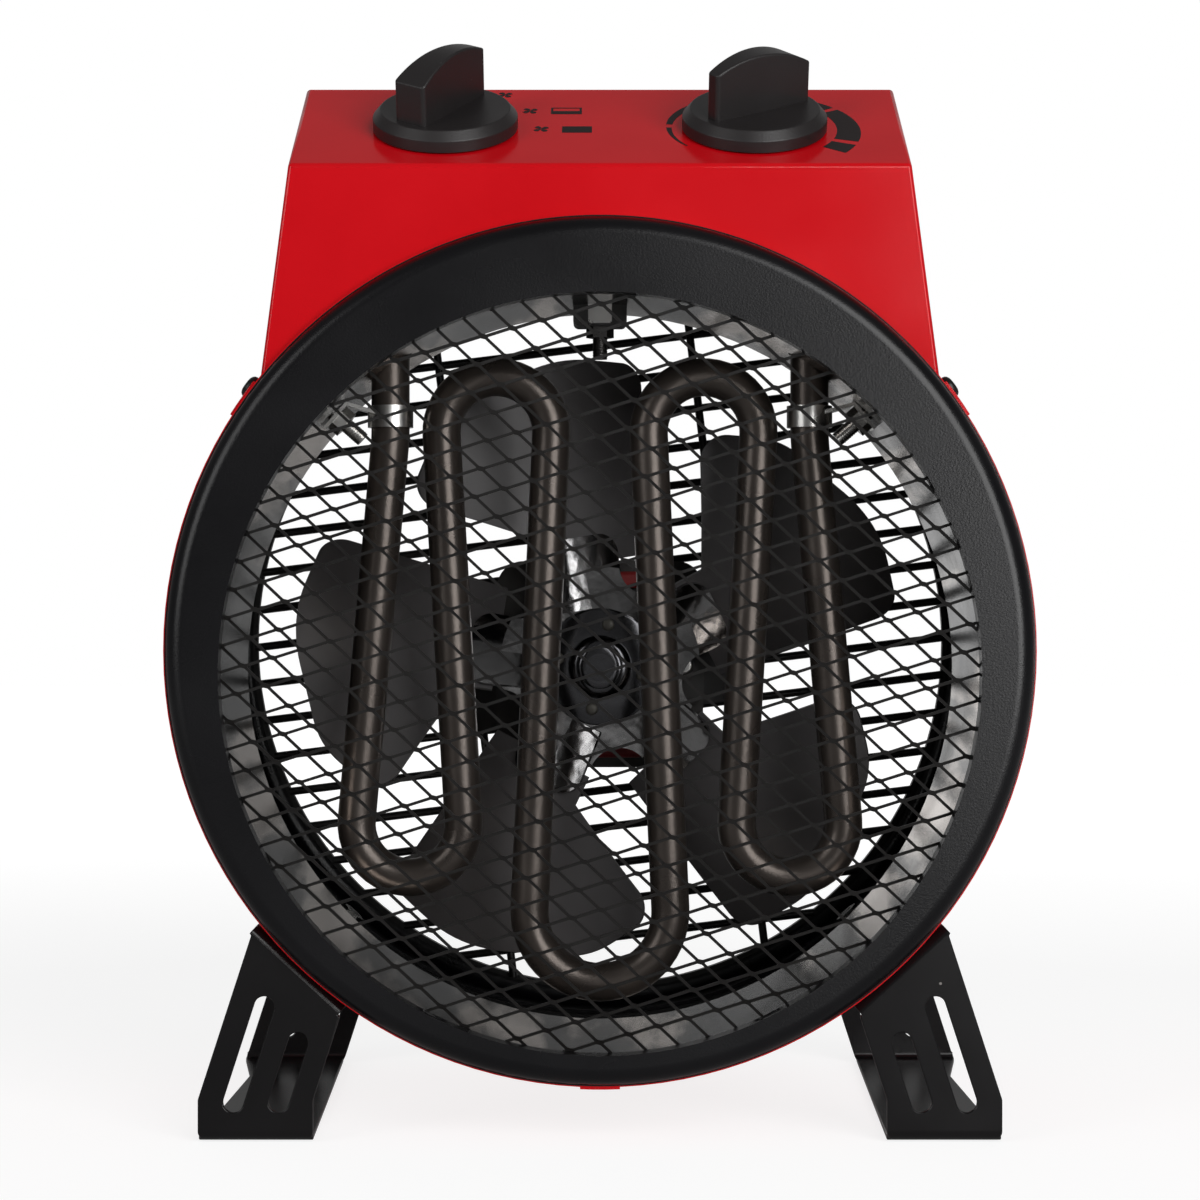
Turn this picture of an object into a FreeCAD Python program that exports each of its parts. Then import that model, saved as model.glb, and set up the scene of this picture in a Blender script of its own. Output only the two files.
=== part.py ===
import FreeCAD
import Part
import math
import os

# A compact drum fan heater, in millimetres. +Z is up and the front faces -Y.
# The origin is on the floor, under the middle of the drum. Every depth is
# measured back from the flat face of the front ring.

Vector = FreeCAD.Vector

# Drum and its two pressed end rings
DRUM_RADIUS = 115.0
FLOOR_SPACE = 15.0
OVERALL_DEPTH = 152.0
SHEET = 1.0
DRUM_SHEET = 0.6
SEAM_WIDTH = 10.5
RING_ROUND = 5.0
RING_SIDE = 15.0
RING_GAP = 0.1
RING_FACE = 15.0
REAR_RING_FACE = 8.0
LIP_DEPTH = 6.0
DUCT_DROP = 6.0

# Expanded-metal guard
MESH_SHEET = 1.2
MESH_STRAND = 1.0
MESH_LONG = 20.0
MESH_SHORT = 10.6
MESH_TURN = -12.8
MESH_SMALLEST_GAP = 12.0

# Inner liner and its spacers
LINER_STEP = 2.0
LINER_SHEET = 0.8
LINER_LENGTH = 75.0
LINER_FLANGE = 2.7
SPACER_RADIUS = 4.5

# Rear guard of parallel bars
BAR_RADIUS = 1.25
BAR_PITCH = 11.5
BAR_TURN = 7.0
CROSS_BAR_PLACE = 39.5
GUARD_RIM_WIDTH = 1.5
GUARD_RIM_SHEET = 2.0
WELD_DEPTH = 0.3

# Feet
FOOT_SHEET = 1.5
FOOT_BEND = 3.0
FOOT_FRONT_DEPTH = 9.0
FOOT_ANGLE = 47.5
FOOT_PLATE_WIDTH = 30.5
FOOT_REACH = 28.8
FOOT_KNEE_HEIGHT = 11.0
FOOT_LEAN = 18.0
FOOT_FLANGE = 19.0
FOOT_FLARE = 35.0
FOOT_WAIST = 2.0
FOOT_CORNER = 2.5
FOOT_SCREW_DEPTH = 13.0
SLOT_WIDTH = 5.4
SLOT_OUTER_LENGTH = 32.0
SLOT_INNER_LENGTH = 22.0
SLOT_SPACING = 12.0
SLOT_MARGIN = 9.6
SLOT_FOOT_HEIGHT = 10.4

# Control hood
HOOD_SETBACK = 8.0
HOOD_LENGTH = 104.0
PANEL_FRONT_RISE = 13.5
PANEL_INSET = 32.6
PANEL_RUN = 50.0
PANEL_RISE = 28.4
HOOD_FLARE = 7.4
HOOD_TAB_LENGTH = 20.0
HOOD_TAB_WIDTH = 9.5
HOOD_TAB_SPACE = 0.6
HOOD_TAB_ROOT = 1.2
COVER_DEPTH = 9.0
COVER_GAP = 0.15
COVER_SCREW_DROP = 5.0

# Screws and nuts
SCREW_RADIUS = 2.0
SCREW_CLEARANCE = 0.2
HEAD_RADIUS = 3.2
HEAD_HEIGHT = 2.4
HEAD_ROUND_SHARE = 0.45
NUT_RADIUS = 3.9
NUT_HEIGHT = 3.0
THREAD_END = 6.0

# Tubular element, seen from the front about the duct's axis
TUBE_RADIUS = 5.3
ELEMENT_DEPTH = 45.0
OUTER_BEND_X = 52.6
OUTER_BEND_RADIUS = 14.8
OUTER_BEND_BOTTOM = -57.5
TOP_BEND_X = 28.7
TOP_BEND_RADIUS = 15.2
TOP_BEND_GAP = 21.0
MIDDLE_BEND_RADIUS = 19.5
MIDDLE_BEND_GAP = 15.5
TERMINAL_X = 58.0
TERMINAL_STRAIGHT = 46.0
END_BEND_RADIUS = 60.0
TUBE_END_ABOVE_DRUM = 5.0
TUBE_CLEARANCE = 0.6
BUSH_RADIUS = 6.4
BUSH_LENGTH = 6.0
PIN_RADIUS = 2.0
PIN_LENGTH = 9.0
CLIP_SHEET = 1.0
CLIP_WIDTH = 10.0
CLIP_BAND = 6.0
CLIP_PAD = 9.0
CLIP_GAP = 0.5
CLIP_TUBE_GAP = 11.1
CLIP_SCREW_REACH = 11.6

# Thermal cut-out at the top of the duct
CUTOUT_DEPTH = 58.0
CUTOUT_WIDTH = 15.0
CUTOUT_HEIGHT = 6.0
CUTOUT_LENGTH = 12.0
CUTOUT_EASE = 1.5

# Knobs, spindles and switch bodies, about each spindle's axis
KNOB_X = 42.0
KNOB_DROP = 2.3
KNOB_RADIUS = 19.7
KNOB_TOP_RADIUS = 17.6
KNOB_SIDE = 3.6
KNOB_SKIRT = 6.0
KNOB_WALL = 2.0
KNOB_LIFT = 0.5
KNOB_EASE = 0.6
GRIP_LENGTH = 31.0
GRIP_WIDE = 10.3
GRIP_NARROW = 4.2
GRIP_FRONT_HEIGHT = 16.9
GRIP_BACK_HEIGHT = 18.7
GRIP_TOP_HEIGHT = 21.8
GRIP_TOP_PLACE = 4.0
GRIP_CORNER = 1.2
KNOB_BOSS_RADIUS = 5.0
SPINDLE_RADIUS = 3.0
SPINDLE_ABOVE = 5.0
SPINDLE_BELOW = 16.0
RUNNING_GAP = 0.05
SPINDLE_HOLE_RADIUS = 4.5
SELECTOR_ANGLE = 55.0
THERMOSTAT_ANGLE = 219.0
SWITCH_SIDE = 31.0
SWITCH_HEIGHT = 17.0
SWITCH_CORNER = 4.0
THERMOSTAT_BODY_RADIUS = 16.0
TAB_WIDTH = 6.3
TAB_SHEET = 0.8
TAB_LENGTH = 5.0
TAB_SPREAD = 9.0
SWITCH_SCREW_SPACING = 26.0
SWITCH_SCREW_RADIUS = 1.5
SWITCH_HEAD_RADIUS = 2.7
SWITCH_HEAD_HEIGHT = 1.8
SWITCH_SCREW_LENGTH = 8.0

# Fan
FAN_TIP_GAP = 11.0
FAN_TO_BUSH = 10.45
BLADE_COUNT = 5
BLADE_FIRST_ANGLE = 100.0
BLADE_ROOT = 30.0
BLADE_ROOT_LEAD = 21.0
BLADE_ROOT_TRAIL = 12.0
BLADE_KNEE = 39.0
BLADE_LEAD = 31.5
BLADE_LEAD_CORNER = 7.0
BLADE_TIP_ROUND = 45.0
BLADE_SHOULDER_RADIUS = 84.0
BLADE_SHOULDER_ANGLE = 24.0
BLADE_SHOULDER_ROUND = 22.0
BLADE_EAR_RADIUS = 73.0
BLADE_EAR_ANGLE = 39.0
BLADE_EAR_CORNER = 8.0
BLADE_SHEET = 1.2
BLADE_CURVE = 105.0
BLADE_PITCH = 24.0
ARM_SHEET = 1.5
ARM_END = 38.0
ARM_ROOT_HALF = 10.0
ARM_END_HALF = 11.5
SPIDER_RADIUS = 29.0
SCALLOP_PLACE = 33.0
SCALLOP_RADIUS = 9.0
BOSS_RADIUS = 6.2
BOSS_FLANGE_RADIUS = 17.0
BOSS_FLANGE = 2.0
BOSS_NOSE = 6.0
BOSS_TAIL = 9.0

# Motor, behind the fan on the duct's axis
SHAFT_RADIUS = 4.0
SHAFT_NOSE = 2.0
STATOR_SIDE = 62.0
STATOR_LENGTH = 18.0
STATOR_CORNER = 8.0
ROTOR_RADIUS = 19.0
ROTOR_GAP = 0.4
COIL_OVERHANG = 6.0
COIL_GAP = 0.3
COIL_ROUND = 1.6
COIL_SHEET = 5.0
COIL_HEIGHT = 26.0
BRIDGE_SHEET = 1.5
BRIDGE_WIDTH = 20.0
BRIDGE_STAND = 9.0
MOTOR_BOLT_X = 24.5
BUSH_HOUSING_RADIUS = 7.0
MOTOR_BUSH_LENGTH = 7.0
MOTOR_PLATE_SHEET = 1.5
MOTOR_PLATE_HEIGHT = 34.0
MOTOR_PLATE_EDGE = 4.0
MOTOR_PLATE_GAP = 0.3
COLLAR_LENGTH = 3.8
THIN_NUT = 2.0

# Cord inlet and terminal block in the hood
GLAND_X = 45.0
GLAND_RISE = 18.0
GLAND_BORE_RADIUS = 4.2
GLAND_THREAD_RADIUS = 7.8
GLAND_HEX_RADIUS = 12.0
GLAND_HEX_LENGTH = 7.0
GLAND_DOME_RADIUS = 9.5
GLAND_DOME_LENGTH = 12.0
GLAND_MOUTH_WALL = 2.0
GLAND_THREAD_LENGTH = 8.0
GLAND_NUT_LENGTH = 4.0
BLOCK_WIDTH = 36.0
BLOCK_LENGTH = 18.0
BLOCK_HEIGHT = 14.0
BLOCK_GROOVES = 2

# Places worked out from the sizes above
FRONT = -OVERALL_DEPTH / 2
BACK = OVERALL_DEPTH / 2
AXIS_HEIGHT = DRUM_RADIUS + FLOOR_SPACE
DUCT_HEIGHT = AXIS_HEIGHT - DUCT_DROP
DRUM_TOP = AXIS_HEIGHT + DRUM_RADIUS
OPENING_RADIUS = DRUM_RADIUS - RING_FACE
REAR_OPENING_RADIUS = DRUM_RADIUS - REAR_RING_FACE
LINER_RADIUS = OPENING_RADIUS + LINER_STEP
SHELL_INNER = DRUM_RADIUS - DRUM_SHEET
RING_RADIUS = SHELL_INNER - RING_GAP
SHELL_FRONT = FRONT + RING_ROUND
SHELL_BACK = BACK - RING_ROUND
MESH_FRONT = FRONT + LIP_DEPTH
LINER_FRONT = MESH_FRONT + MESH_SHEET
LINER_BACK = LINER_FRONT + LINER_LENGTH
LINER_OUTER = LINER_RADIUS + LINER_SHEET
GUARD_RADIUS = LINER_OUTER + LINER_FLANGE
HOOD_FRONT = FRONT + HOOD_SETBACK
HOOD_BACK = HOOD_FRONT + HOOD_LENGTH
PANEL_ANGLE = math.degrees(math.atan2(PANEL_RISE, PANEL_RUN))
PANEL_FRONT_HEIGHT = DRUM_TOP + PANEL_FRONT_RISE
PANEL_WIDTH = 2 * (DRUM_RADIUS - PANEL_INSET)
PANEL_TOP = PANEL_FRONT_HEIGHT + PANEL_RISE
COVER_SCREW_HEIGHT = DRUM_TOP - COVER_SCREW_DROP
GLAND_HEIGHT = DRUM_TOP + GLAND_RISE
ELEMENT_Y = FRONT + ELEMENT_DEPTH
FOOT_LENGTH = OVERALL_DEPTH - 2 * FOOT_FRONT_DEPTH
FOOT_OUTER_X = DRUM_RADIUS * math.cos(math.radians(FOOT_ANGLE)) + FOOT_REACH
HOLE_RADIUS = SCREW_RADIUS + SCREW_CLEARANCE
HOOD_TAB_YS = [HOOD_FRONT + HOOD_TAB_LENGTH / 2, HOOD_BACK - COVER_DEPTH - HOOD_TAB_LENGTH / 2]
BAR_Y = BACK - SHEET - BAR_RADIUS
CROSS_Y = BAR_Y - 2 * BAR_RADIUS + WELD_DEPTH
PLATE_BACK = CROSS_Y - BAR_RADIUS
PLATE_FRONT = PLATE_BACK - MOTOR_PLATE_SHEET
BRIDGE_BACK = PLATE_FRONT - COLLAR_LENGTH
STATOR_BACK = BRIDGE_BACK - BRIDGE_STAND
STATOR_FRONT = STATOR_BACK - STATOR_LENGTH
BRIDGE_FRONT = STATOR_FRONT - BRIDGE_STAND
FAN_RADIUS = LINER_RADIUS - FAN_TIP_GAP
FAN_Y = BRIDGE_FRONT + (BRIDGE_SHEET - MOTOR_BUSH_LENGTH) / 2 - FAN_TO_BUSH - BOSS_TAIL + BLADE_SHEET


def direction(angle):
    """Unit vector in the front view, with angles counter-clockwise from +X."""
    turn = math.radians(angle)
    return Vector(math.cos(turn), 0, math.sin(turn))


def front_view(x, z):
    """Place on the plane of the front view."""
    return Vector(x, 0, z)


def plan_view(x, y):
    """Place on the plane seen from above."""
    return Vector(x, y, 0)


def side_view(y, z):
    """Place on the plane seen from the side."""
    return Vector(0, y, z)


def outline(corners, place):
    """Closed face through corners (u, v, radius), each corner rounded by its radius."""
    flat = [Vector(u, v, 0) for u, v, _ in corners]
    stretches = []
    for index, corner in enumerate(flat):
        radius = corners[index][2]
        before = (flat[index - 1] - corner).normalize()
        after = (flat[(index + 1) % len(flat)] - corner).normalize()
        if radius == 0:
            stretches.append((corner, corner, corner))
            continue
        half = before.getAngle(after) / 2
        reach = radius / math.tan(half)
        middle = (before + after).normalize() * (radius / math.sin(half) - radius)
        stretches.append((corner + before * reach, corner + middle, corner + after * reach))
    edges = []
    for index, (start, middle, end) in enumerate(stretches):
        last = stretches[index - 1][2]
        if last.distanceToPoint(start) > 1e-6:
            edges.append(Part.LineSegment(place(last.x, last.y), place(start.x, start.y)).toShape())
        if start.distanceToPoint(end) > 1e-6:
            arc = Part.Arc(place(start.x, start.y), place(middle.x, middle.y), place(end.x, end.y))
            edges.append(arc.toShape())
    return Part.Face(Part.Wire(edges))


def rounded_plate(half_u, half_v, radius, place):
    """Rectangular face about the middle of a plane, with rounded corners."""
    return outline([(-half_u, -half_v, radius), (half_u, -half_v, radius),
                    (half_u, half_v, radius), (-half_u, half_v, radius)], place)


def extrude_between(face, along, start, length):
    """Solid swept from a flat face along a unit direction."""
    face = face.copy()
    face.translate(along * start)
    return face.extrude(along * length)


def revolve_about_y(corners, height):
    """Ring with the section (radius, y) about the Y direction at a height."""
    section = outline(corners, lambda radius, y: Vector(radius, y, height))
    return section.revolve(Vector(0, 0, height), Vector(0, 1, 0), 360)


def rod_along_y(radius, y_start, y_end, x, z):
    """Round rod along Y."""
    return Part.makeCylinder(radius, y_end - y_start, Vector(x, y_start, z), Vector(0, 1, 0))


def tube_along_y(outer, inner, y_start, y_end, height):
    """Round tube along Y, centred on X."""
    return rod_along_y(outer, y_start, y_end, 0, height).cut(rod_along_y(inner, y_start, y_end, 0, height))


def arc_plate(inner, outer, angle_start, angle_end, y_start, y_end):
    """Curved plate concentric with the drum, between two angles."""
    centre = Vector(0, 0, AXIS_HEIGHT)
    angle_middle = (angle_start + angle_end) / 2
    places = {}
    for name, radius in (("in", inner), ("out", outer)):
        for angle in (angle_start, angle_middle, angle_end):
            places[name, angle] = centre + direction(angle) * radius
    edges = [
        Part.Arc(places["in", angle_start], places["in", angle_middle], places["in", angle_end]).toShape(),
        Part.LineSegment(places["in", angle_end], places["out", angle_end]).toShape(),
        Part.Arc(places["out", angle_end], places["out", angle_middle], places["out", angle_start]).toShape(),
        Part.LineSegment(places["out", angle_start], places["in", angle_start]).toShape(),
    ]
    return extrude_between(Part.Face(Part.Wire(edges)), Vector(0, 1, 0), y_start, y_end - y_start)


def pan_screw(seat, out, shank_length, head_radius=HEAD_RADIUS, head_height=HEAD_HEIGHT, radius=SCREW_RADIUS):
    """Pan-head screw whose head sits on a seat and whose shank runs inwards."""
    rounding = head_height * HEAD_ROUND_SHARE
    section = outline(
        [(0, head_height, 0), (head_radius, head_height, rounding), (head_radius, 0, 0),
         (radius, 0, 0), (radius, -shank_length, 0), (0, -shank_length, 0)],
        lambda across, along: Vector(across, 0, along))
    screw = section.revolve(Vector(0, 0, 0), Vector(0, 0, 1), 360)
    screw.Placement = FreeCAD.Placement(seat, FreeCAD.Rotation(Vector(0, 0, 1), out))
    return screw


def hex_prism(radius, length, base, along):
    """Hexagon with its corners at a radius, swept from a base along a direction."""
    corners = [Vector(radius * math.cos(math.radians(60 * k)), radius * math.sin(math.radians(60 * k)), 0)
               for k in range(7)]
    prism = Part.Face(Part.makePolygon(corners)).extrude(Vector(0, 0, length))
    prism.Placement = FreeCAD.Placement(base, FreeCAD.Rotation(Vector(0, 0, 1), along))
    return prism


def hex_nut(radius, length, bore, base, along):
    """Hexagon nut with a plain bore."""
    return hex_prism(radius, length, base, along).cut(Part.makeCylinder(bore, length, base, along))


def mirror_x(shape):
    """Copy mirrored from left to right."""
    return shape.mirror(Vector(0, 0, 0), Vector(1, 0, 0))


def both_sides(shape):
    """The shape and its mirror image, as one group."""
    return [shape, mirror_x(shape)]


def drum_hole(angle, y, radius):
    """Cutter for a hole through drum, liner or flange, square to the drum's wall."""
    start = Vector(0, y, AXIS_HEIGHT) + direction(angle) * (OPENING_RADIUS / 2)
    return Part.makeCylinder(radius, DRUM_RADIUS, start, direction(angle))


# Where the fasteners pass through the drum
flare_angle = math.radians(HOOD_FLARE)
flare = math.tan(flare_angle)
panel_slope = PANEL_RISE / PANEL_RUN


def hood_edge_height(y):
    """Height of the hood's upper side edge at a depth."""
    return PANEL_FRONT_HEIGHT + min(y - HOOD_FRONT, PANEL_RUN) * panel_slope


def hood_wall_angle(y, radius):
    """Angle at which the hood's side wall crosses a circle about the drum's axis."""
    at_axis = PANEL_WIDTH / 2 + (hood_edge_height(y) - AXIS_HEIGHT) * flare
    return HOOD_FLARE + math.degrees(math.acos(at_axis * math.cos(flare_angle) / radius))


def hood_screw_angle(y):
    """Angle of a tab's screw, with its head just clear of the side wall."""
    radius = DRUM_RADIUS + SHEET
    return hood_wall_angle(y, radius) - math.degrees((HEAD_RADIUS + HOOD_TAB_SPACE) / radius)


hood_places = []
for tab_y in HOOD_TAB_YS:
    hood_places += [(hood_screw_angle(tab_y), tab_y), (180 - hood_screw_angle(tab_y), tab_y)]
clip_height = math.sqrt((LINER_RADIUS - CLIP_TUBE_GAP) ** 2 - TERMINAL_X ** 2)
clip_tube_angle = math.degrees(math.atan2(clip_height - DUCT_DROP, TERMINAL_X))
clip_screw_angle = clip_tube_angle - math.degrees(CLIP_SCREW_REACH / LINER_RADIUS)
clip_angles = [clip_screw_angle, 180 - clip_screw_angle]
foot_angles = [-FOOT_ANGLE, 180 + FOOT_ANGLE]
foot_front_y = FRONT + FOOT_FRONT_DEPTH
foot_back_y = foot_front_y + FOOT_LENGTH
foot_screw_ys = [foot_front_y + FOOT_SCREW_DEPTH, foot_back_y - FOOT_SCREW_DEPTH]
cutout_y = FRONT + CUTOUT_DEPTH
terminal_drum_z = AXIS_HEIGHT + math.sqrt(DRUM_RADIUS ** 2 - TERMINAL_X ** 2)
tube_end_z = terminal_drum_z + TUBE_END_ABOVE_DRUM
tube_holes = both_sides(Part.makeCylinder(TUBE_RADIUS + TUBE_CLEARANCE, DRUM_RADIUS,
                                          Vector(TERMINAL_X, ELEMENT_Y, DUCT_HEIGHT), Vector(0, 0, 1)))

# Drum shell: a rolled tube with a lap strip along the bottom
seam_half = math.degrees(SEAM_WIDTH / 2 / DRUM_RADIUS)
drum_shell = tube_along_y(DRUM_RADIUS, SHELL_INNER, SHELL_FRONT, SHELL_BACK, AXIS_HEIGHT)
lap_strip = arc_plate(DRUM_RADIUS, DRUM_RADIUS + DRUM_SHEET, -90 - seam_half, -90 + seam_half,
                      SHELL_FRONT, SHELL_BACK)
drum_shell = drum_shell.fuse(lap_strip)
drum_holes = [drum_hole(angle, y, HOLE_RADIUS) for angle, y in hood_places]
drum_holes += [drum_hole(angle, ELEMENT_Y, HOLE_RADIUS) for angle in clip_angles]
drum_holes += [drum_hole(angle, y, HOLE_RADIUS) for angle in foot_angles for y in foot_screw_ys]
drum_holes += [drum_hole(90, cutout_y, HOLE_RADIUS)] + tube_holes
drum_shell = drum_shell.cut(drum_holes)


def pressed_ring(opening_radius, opening_height):
    """Pressed end ring facing the front, with its opening about a height."""
    pan = revolve_about_y(
        [(0, FRONT, 0), (RING_RADIUS, FRONT, RING_ROUND), (RING_RADIUS, FRONT + RING_SIDE, 0),
         (RING_RADIUS - SHEET, FRONT + RING_SIDE, 0),
         (RING_RADIUS - SHEET, FRONT + SHEET, RING_ROUND - SHEET), (0, FRONT + SHEET, 0)], AXIS_HEIGHT)
    return pan.cut(rod_along_y(opening_radius, FRONT, BACK, 0, opening_height))


# Front ring: the opening is set low and has a plain lip that the guard bears on
front_ring = pressed_ring(OPENING_RADIUS, DUCT_HEIGHT)
ring_lip = tube_along_y(OPENING_RADIUS + SHEET, OPENING_RADIUS, FRONT, MESH_FRONT, DUCT_HEIGHT)
front_ring = front_ring.fuse(ring_lip)
front_ring = front_ring.removeSplitter()

# Rear ring: the same pressing turned about, with a wider plain opening in its middle
rear_ring = pressed_ring(REAR_OPENING_RADIUS, AXIS_HEIGHT).mirror(Vector(0, 0, 0), Vector(0, 1, 0))

# Expanded-metal guard: one sheet with rows of diamond gaps, turned about the duct's axis
half_long = MESH_LONG / 2
half_short = MESH_SHORT / 2
strand_slant = math.hypot(half_long, half_short)
gap_half_long = half_long - MESH_STRAND / 2 * strand_slant / half_short
gap_half_short = half_short - MESH_STRAND / 2 * strand_slant / half_long
seen_radius = OPENING_RADIUS + SHEET / 2
mesh_disc = Part.Face(Part.Wire(Part.makeCircle(seen_radius, Vector(0, 0, 0), Vector(0, 0, 1))))
gap_wires = []
rows = int(seen_radius / half_short) + 1
columns = int(seen_radius / MESH_LONG) + 2
for row in range(-rows, rows + 1):
    for column in range(-columns, columns + 1):
        centre_u = (column + 0.5 * (row % 2)) * MESH_LONG
        centre_v = row * half_short
        corners = [Vector(centre_u - gap_half_long, centre_v, 0),
                   Vector(centre_u, centre_v - gap_half_short, 0),
                   Vector(centre_u + gap_half_long, centre_v, 0),
                   Vector(centre_u, centre_v + gap_half_short, 0)]
        furthest = max(corner.Length for corner in corners)
        nearest = min(corner.Length for corner in corners)
        gap = Part.makePolygon(corners + corners[:1])
        if furthest < seen_radius:
            gap_wires.append(gap)
        elif nearest < seen_radius:
            clipped = Part.Face(gap).common(mesh_disc)
            if clipped.Area > MESH_SMALLEST_GAP:
                gap_wires.append(clipped.Faces[0].OuterWire)
mesh_rim = Part.Wire(Part.makeCircle(GUARD_RADIUS, Vector(0, 0, 0), Vector(0, 0, 1)))
mesh_sheet = Part.Face([mesh_rim] + gap_wires)
mesh_sheet.validate()
mesh_guard = mesh_sheet.extrude(Vector(0, 0, MESH_SHEET))
upright = FreeCAD.Rotation(Vector(1, 0, 0), 90)
turned = FreeCAD.Rotation(Vector(0, 0, 1), MESH_TURN)
mesh_guard.Placement = FreeCAD.Placement(Vector(0, MESH_FRONT + MESH_SHEET, DUCT_HEIGHT), upright * turned)

# Inner liner: a sleeve with a narrow front flange behind the guard
inner_liner = tube_along_y(LINER_OUTER, LINER_RADIUS, LINER_FRONT, LINER_BACK, DUCT_HEIGHT)
liner_flange = tube_along_y(GUARD_RADIUS, LINER_RADIUS, LINER_FRONT, LINER_FRONT + LINER_SHEET, DUCT_HEIGHT)
inner_liner = inner_liner.fuse(liner_flange)
liner_places = [(angle, ELEMENT_Y) for angle in clip_angles] + [(90, cutout_y)]
inner_liner = inner_liner.cut([drum_hole(angle, y, HOLE_RADIUS) for angle, y in liner_places] + tube_holes)

# Liner spacers: short tubes shaped to both walls, round the screws that carry the liner
between_walls = tube_along_y(SHELL_INNER, LINER_RADIUS - DUCT_DROP, SHELL_FRONT, SHELL_BACK, AXIS_HEIGHT)
between_walls = between_walls.cut(rod_along_y(LINER_OUTER, FRONT, BACK, 0, DUCT_HEIGHT))
liner_spacers = []
for angle, y in liner_places:
    tube = drum_hole(angle, y, SPACER_RADIUS).cut(drum_hole(angle, y, HOLE_RADIUS))
    liner_spacers.append(tube.common(between_walls))

# Rear guard: parallel bars on a flat rim, with two cross bars that carry the motor
guard_along = direction(BAR_TURN)
guard_across = direction(BAR_TURN + 90)
rim_outer = REAR_OPENING_RADIUS + GUARD_RIM_WIDTH
rim_middle = REAR_OPENING_RADIUS + GUARD_RIM_WIDTH / 2
guard_centre = Vector(0, 0, AXIS_HEIGHT)
duct_centre = Vector(0, 0, DUCT_HEIGHT)


def guard_bar(place, along, across, y):
    """Bar across the rear opening at a distance from its middle."""
    half = math.sqrt(rim_middle ** 2 - place ** 2)
    start = guard_centre + across * place - along * half + Vector(0, y, 0)
    return Part.makeCylinder(BAR_RADIUS, 2 * half, start, along)


rim_front = BACK - SHEET - GUARD_RIM_SHEET
rear_guard = tube_along_y(rim_outer, REAR_OPENING_RADIUS, rim_front, BACK - SHEET, AXIS_HEIGHT)
bars_each_side = int((REAR_OPENING_RADIUS - BAR_PITCH / 2) / BAR_PITCH)
guard_bars = [guard_bar(k * BAR_PITCH, guard_along, guard_across, BAR_Y)
              for k in range(-bars_each_side, bars_each_side + 1)]
guard_bars += [guard_bar(side * CROSS_BAR_PLACE, guard_across, guard_along, CROSS_Y) for side in (-1, 1)]
rear_guard = rear_guard.multiFuse(guard_bars)

# Feet: one bent strap each, a U from front plate to rear plate with top flanges on the drum
foot_normal = direction(-FOOT_ANGLE)
foot_tangent = direction(90 - FOOT_ANGLE)
lean = math.tan(math.radians(FOOT_LEAN))
foot_inner_x = FOOT_OUTER_X - FOOT_PLATE_WIDTH


def tangent_height(x, distance):
    """Height on the line square to the foot's normal, at a distance from the drum's axis."""
    return AXIS_HEIGHT + (distance - x * foot_normal.x) / foot_normal.z


def plate_edge_top(knee_x, distance):
    """Top end of a leaning plate edge, where it meets the flange's line."""
    base = tangent_height(knee_x, distance)
    slope = -foot_normal.x / foot_normal.z
    drop = (base - FOOT_KNEE_HEIGHT) / (1 + slope * lean)
    return knee_x - drop * lean, FOOT_KNEE_HEIGHT + drop


plate_line = DRUM_RADIUS + FOOT_SHEET
outer_top = plate_edge_top(FOOT_OUTER_X, plate_line)
inner_top = plate_edge_top(foot_inner_x, plate_line)
foot_plate = outline(
    [(FOOT_OUTER_X, 0, FOOT_CORNER), (FOOT_OUTER_X, FOOT_KNEE_HEIGHT, FOOT_CORNER),
     (outer_top[0], outer_top[1], 0), (inner_top[0], inner_top[1], 0),
     (foot_inner_x, FOOT_KNEE_HEIGHT, FOOT_CORNER), (foot_inner_x, 0, FOOT_CORNER)], front_view)

# The rear plate's edges lean all the way down, so the base widens outwards towards its back
rear_step = FOOT_KNEE_HEIGHT * lean
rear_outer_x = FOOT_OUTER_X + rear_step
rear_inner_x = foot_inner_x + rear_step
rear_plate = outline(
    [(rear_outer_x, 0, FOOT_CORNER), (outer_top[0], outer_top[1], 0),
     (inner_top[0], inner_top[1], 0), (rear_inner_x, 0, FOOT_CORNER)], front_view)
foot_base = outline(
    [(foot_inner_x, foot_front_y, FOOT_CORNER), (FOOT_OUTER_X, foot_front_y, FOOT_CORNER),
     (FOOT_OUTER_X - FOOT_WAIST, foot_back_y - FOOT_FLARE, FOOT_CORNER),
     (rear_outer_x, foot_back_y, FOOT_CORNER), (rear_inner_x, foot_back_y, FOOT_CORNER)], plan_view)
strap_top = AXIS_HEIGHT
foot_side = outline(
    [(foot_front_y, strap_top, 0), (foot_front_y, 0, FOOT_BEND), (foot_back_y, 0, FOOT_BEND),
     (foot_back_y, strap_top, 0), (foot_back_y - FOOT_SHEET, strap_top, 0),
     (foot_back_y - FOOT_SHEET, FOOT_SHEET, FOOT_BEND - FOOT_SHEET),
     (foot_front_y + FOOT_SHEET, FOOT_SHEET, FOOT_BEND - FOOT_SHEET),
     (foot_front_y + FOOT_SHEET, strap_top, 0)], side_view)
strap = extrude_between(foot_side, Vector(1, 0, 0), foot_inner_x - FOOT_PLATE_WIDTH, 3 * FOOT_PLATE_WIDTH)
front_space = extrude_between(foot_plate, Vector(0, 1, 0), foot_front_y, FOOT_BEND)
rear_space = extrude_between(rear_plate, Vector(0, 1, 0), foot_back_y - FOOT_BEND, FOOT_BEND)
base_space = extrude_between(foot_base, Vector(0, 0, 1), 0, FOOT_BEND)
right_foot = strap.common(front_space.multiFuse([rear_space, base_space]))

# The flange turns back from the plate's top edge, with a rounded bend, and lies on the drum
flange_start = Vector(inner_top[0], 0, inner_top[1])
flange_width = Vector(outer_top[0] - inner_top[0], 0, outer_top[1] - inner_top[1])


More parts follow.
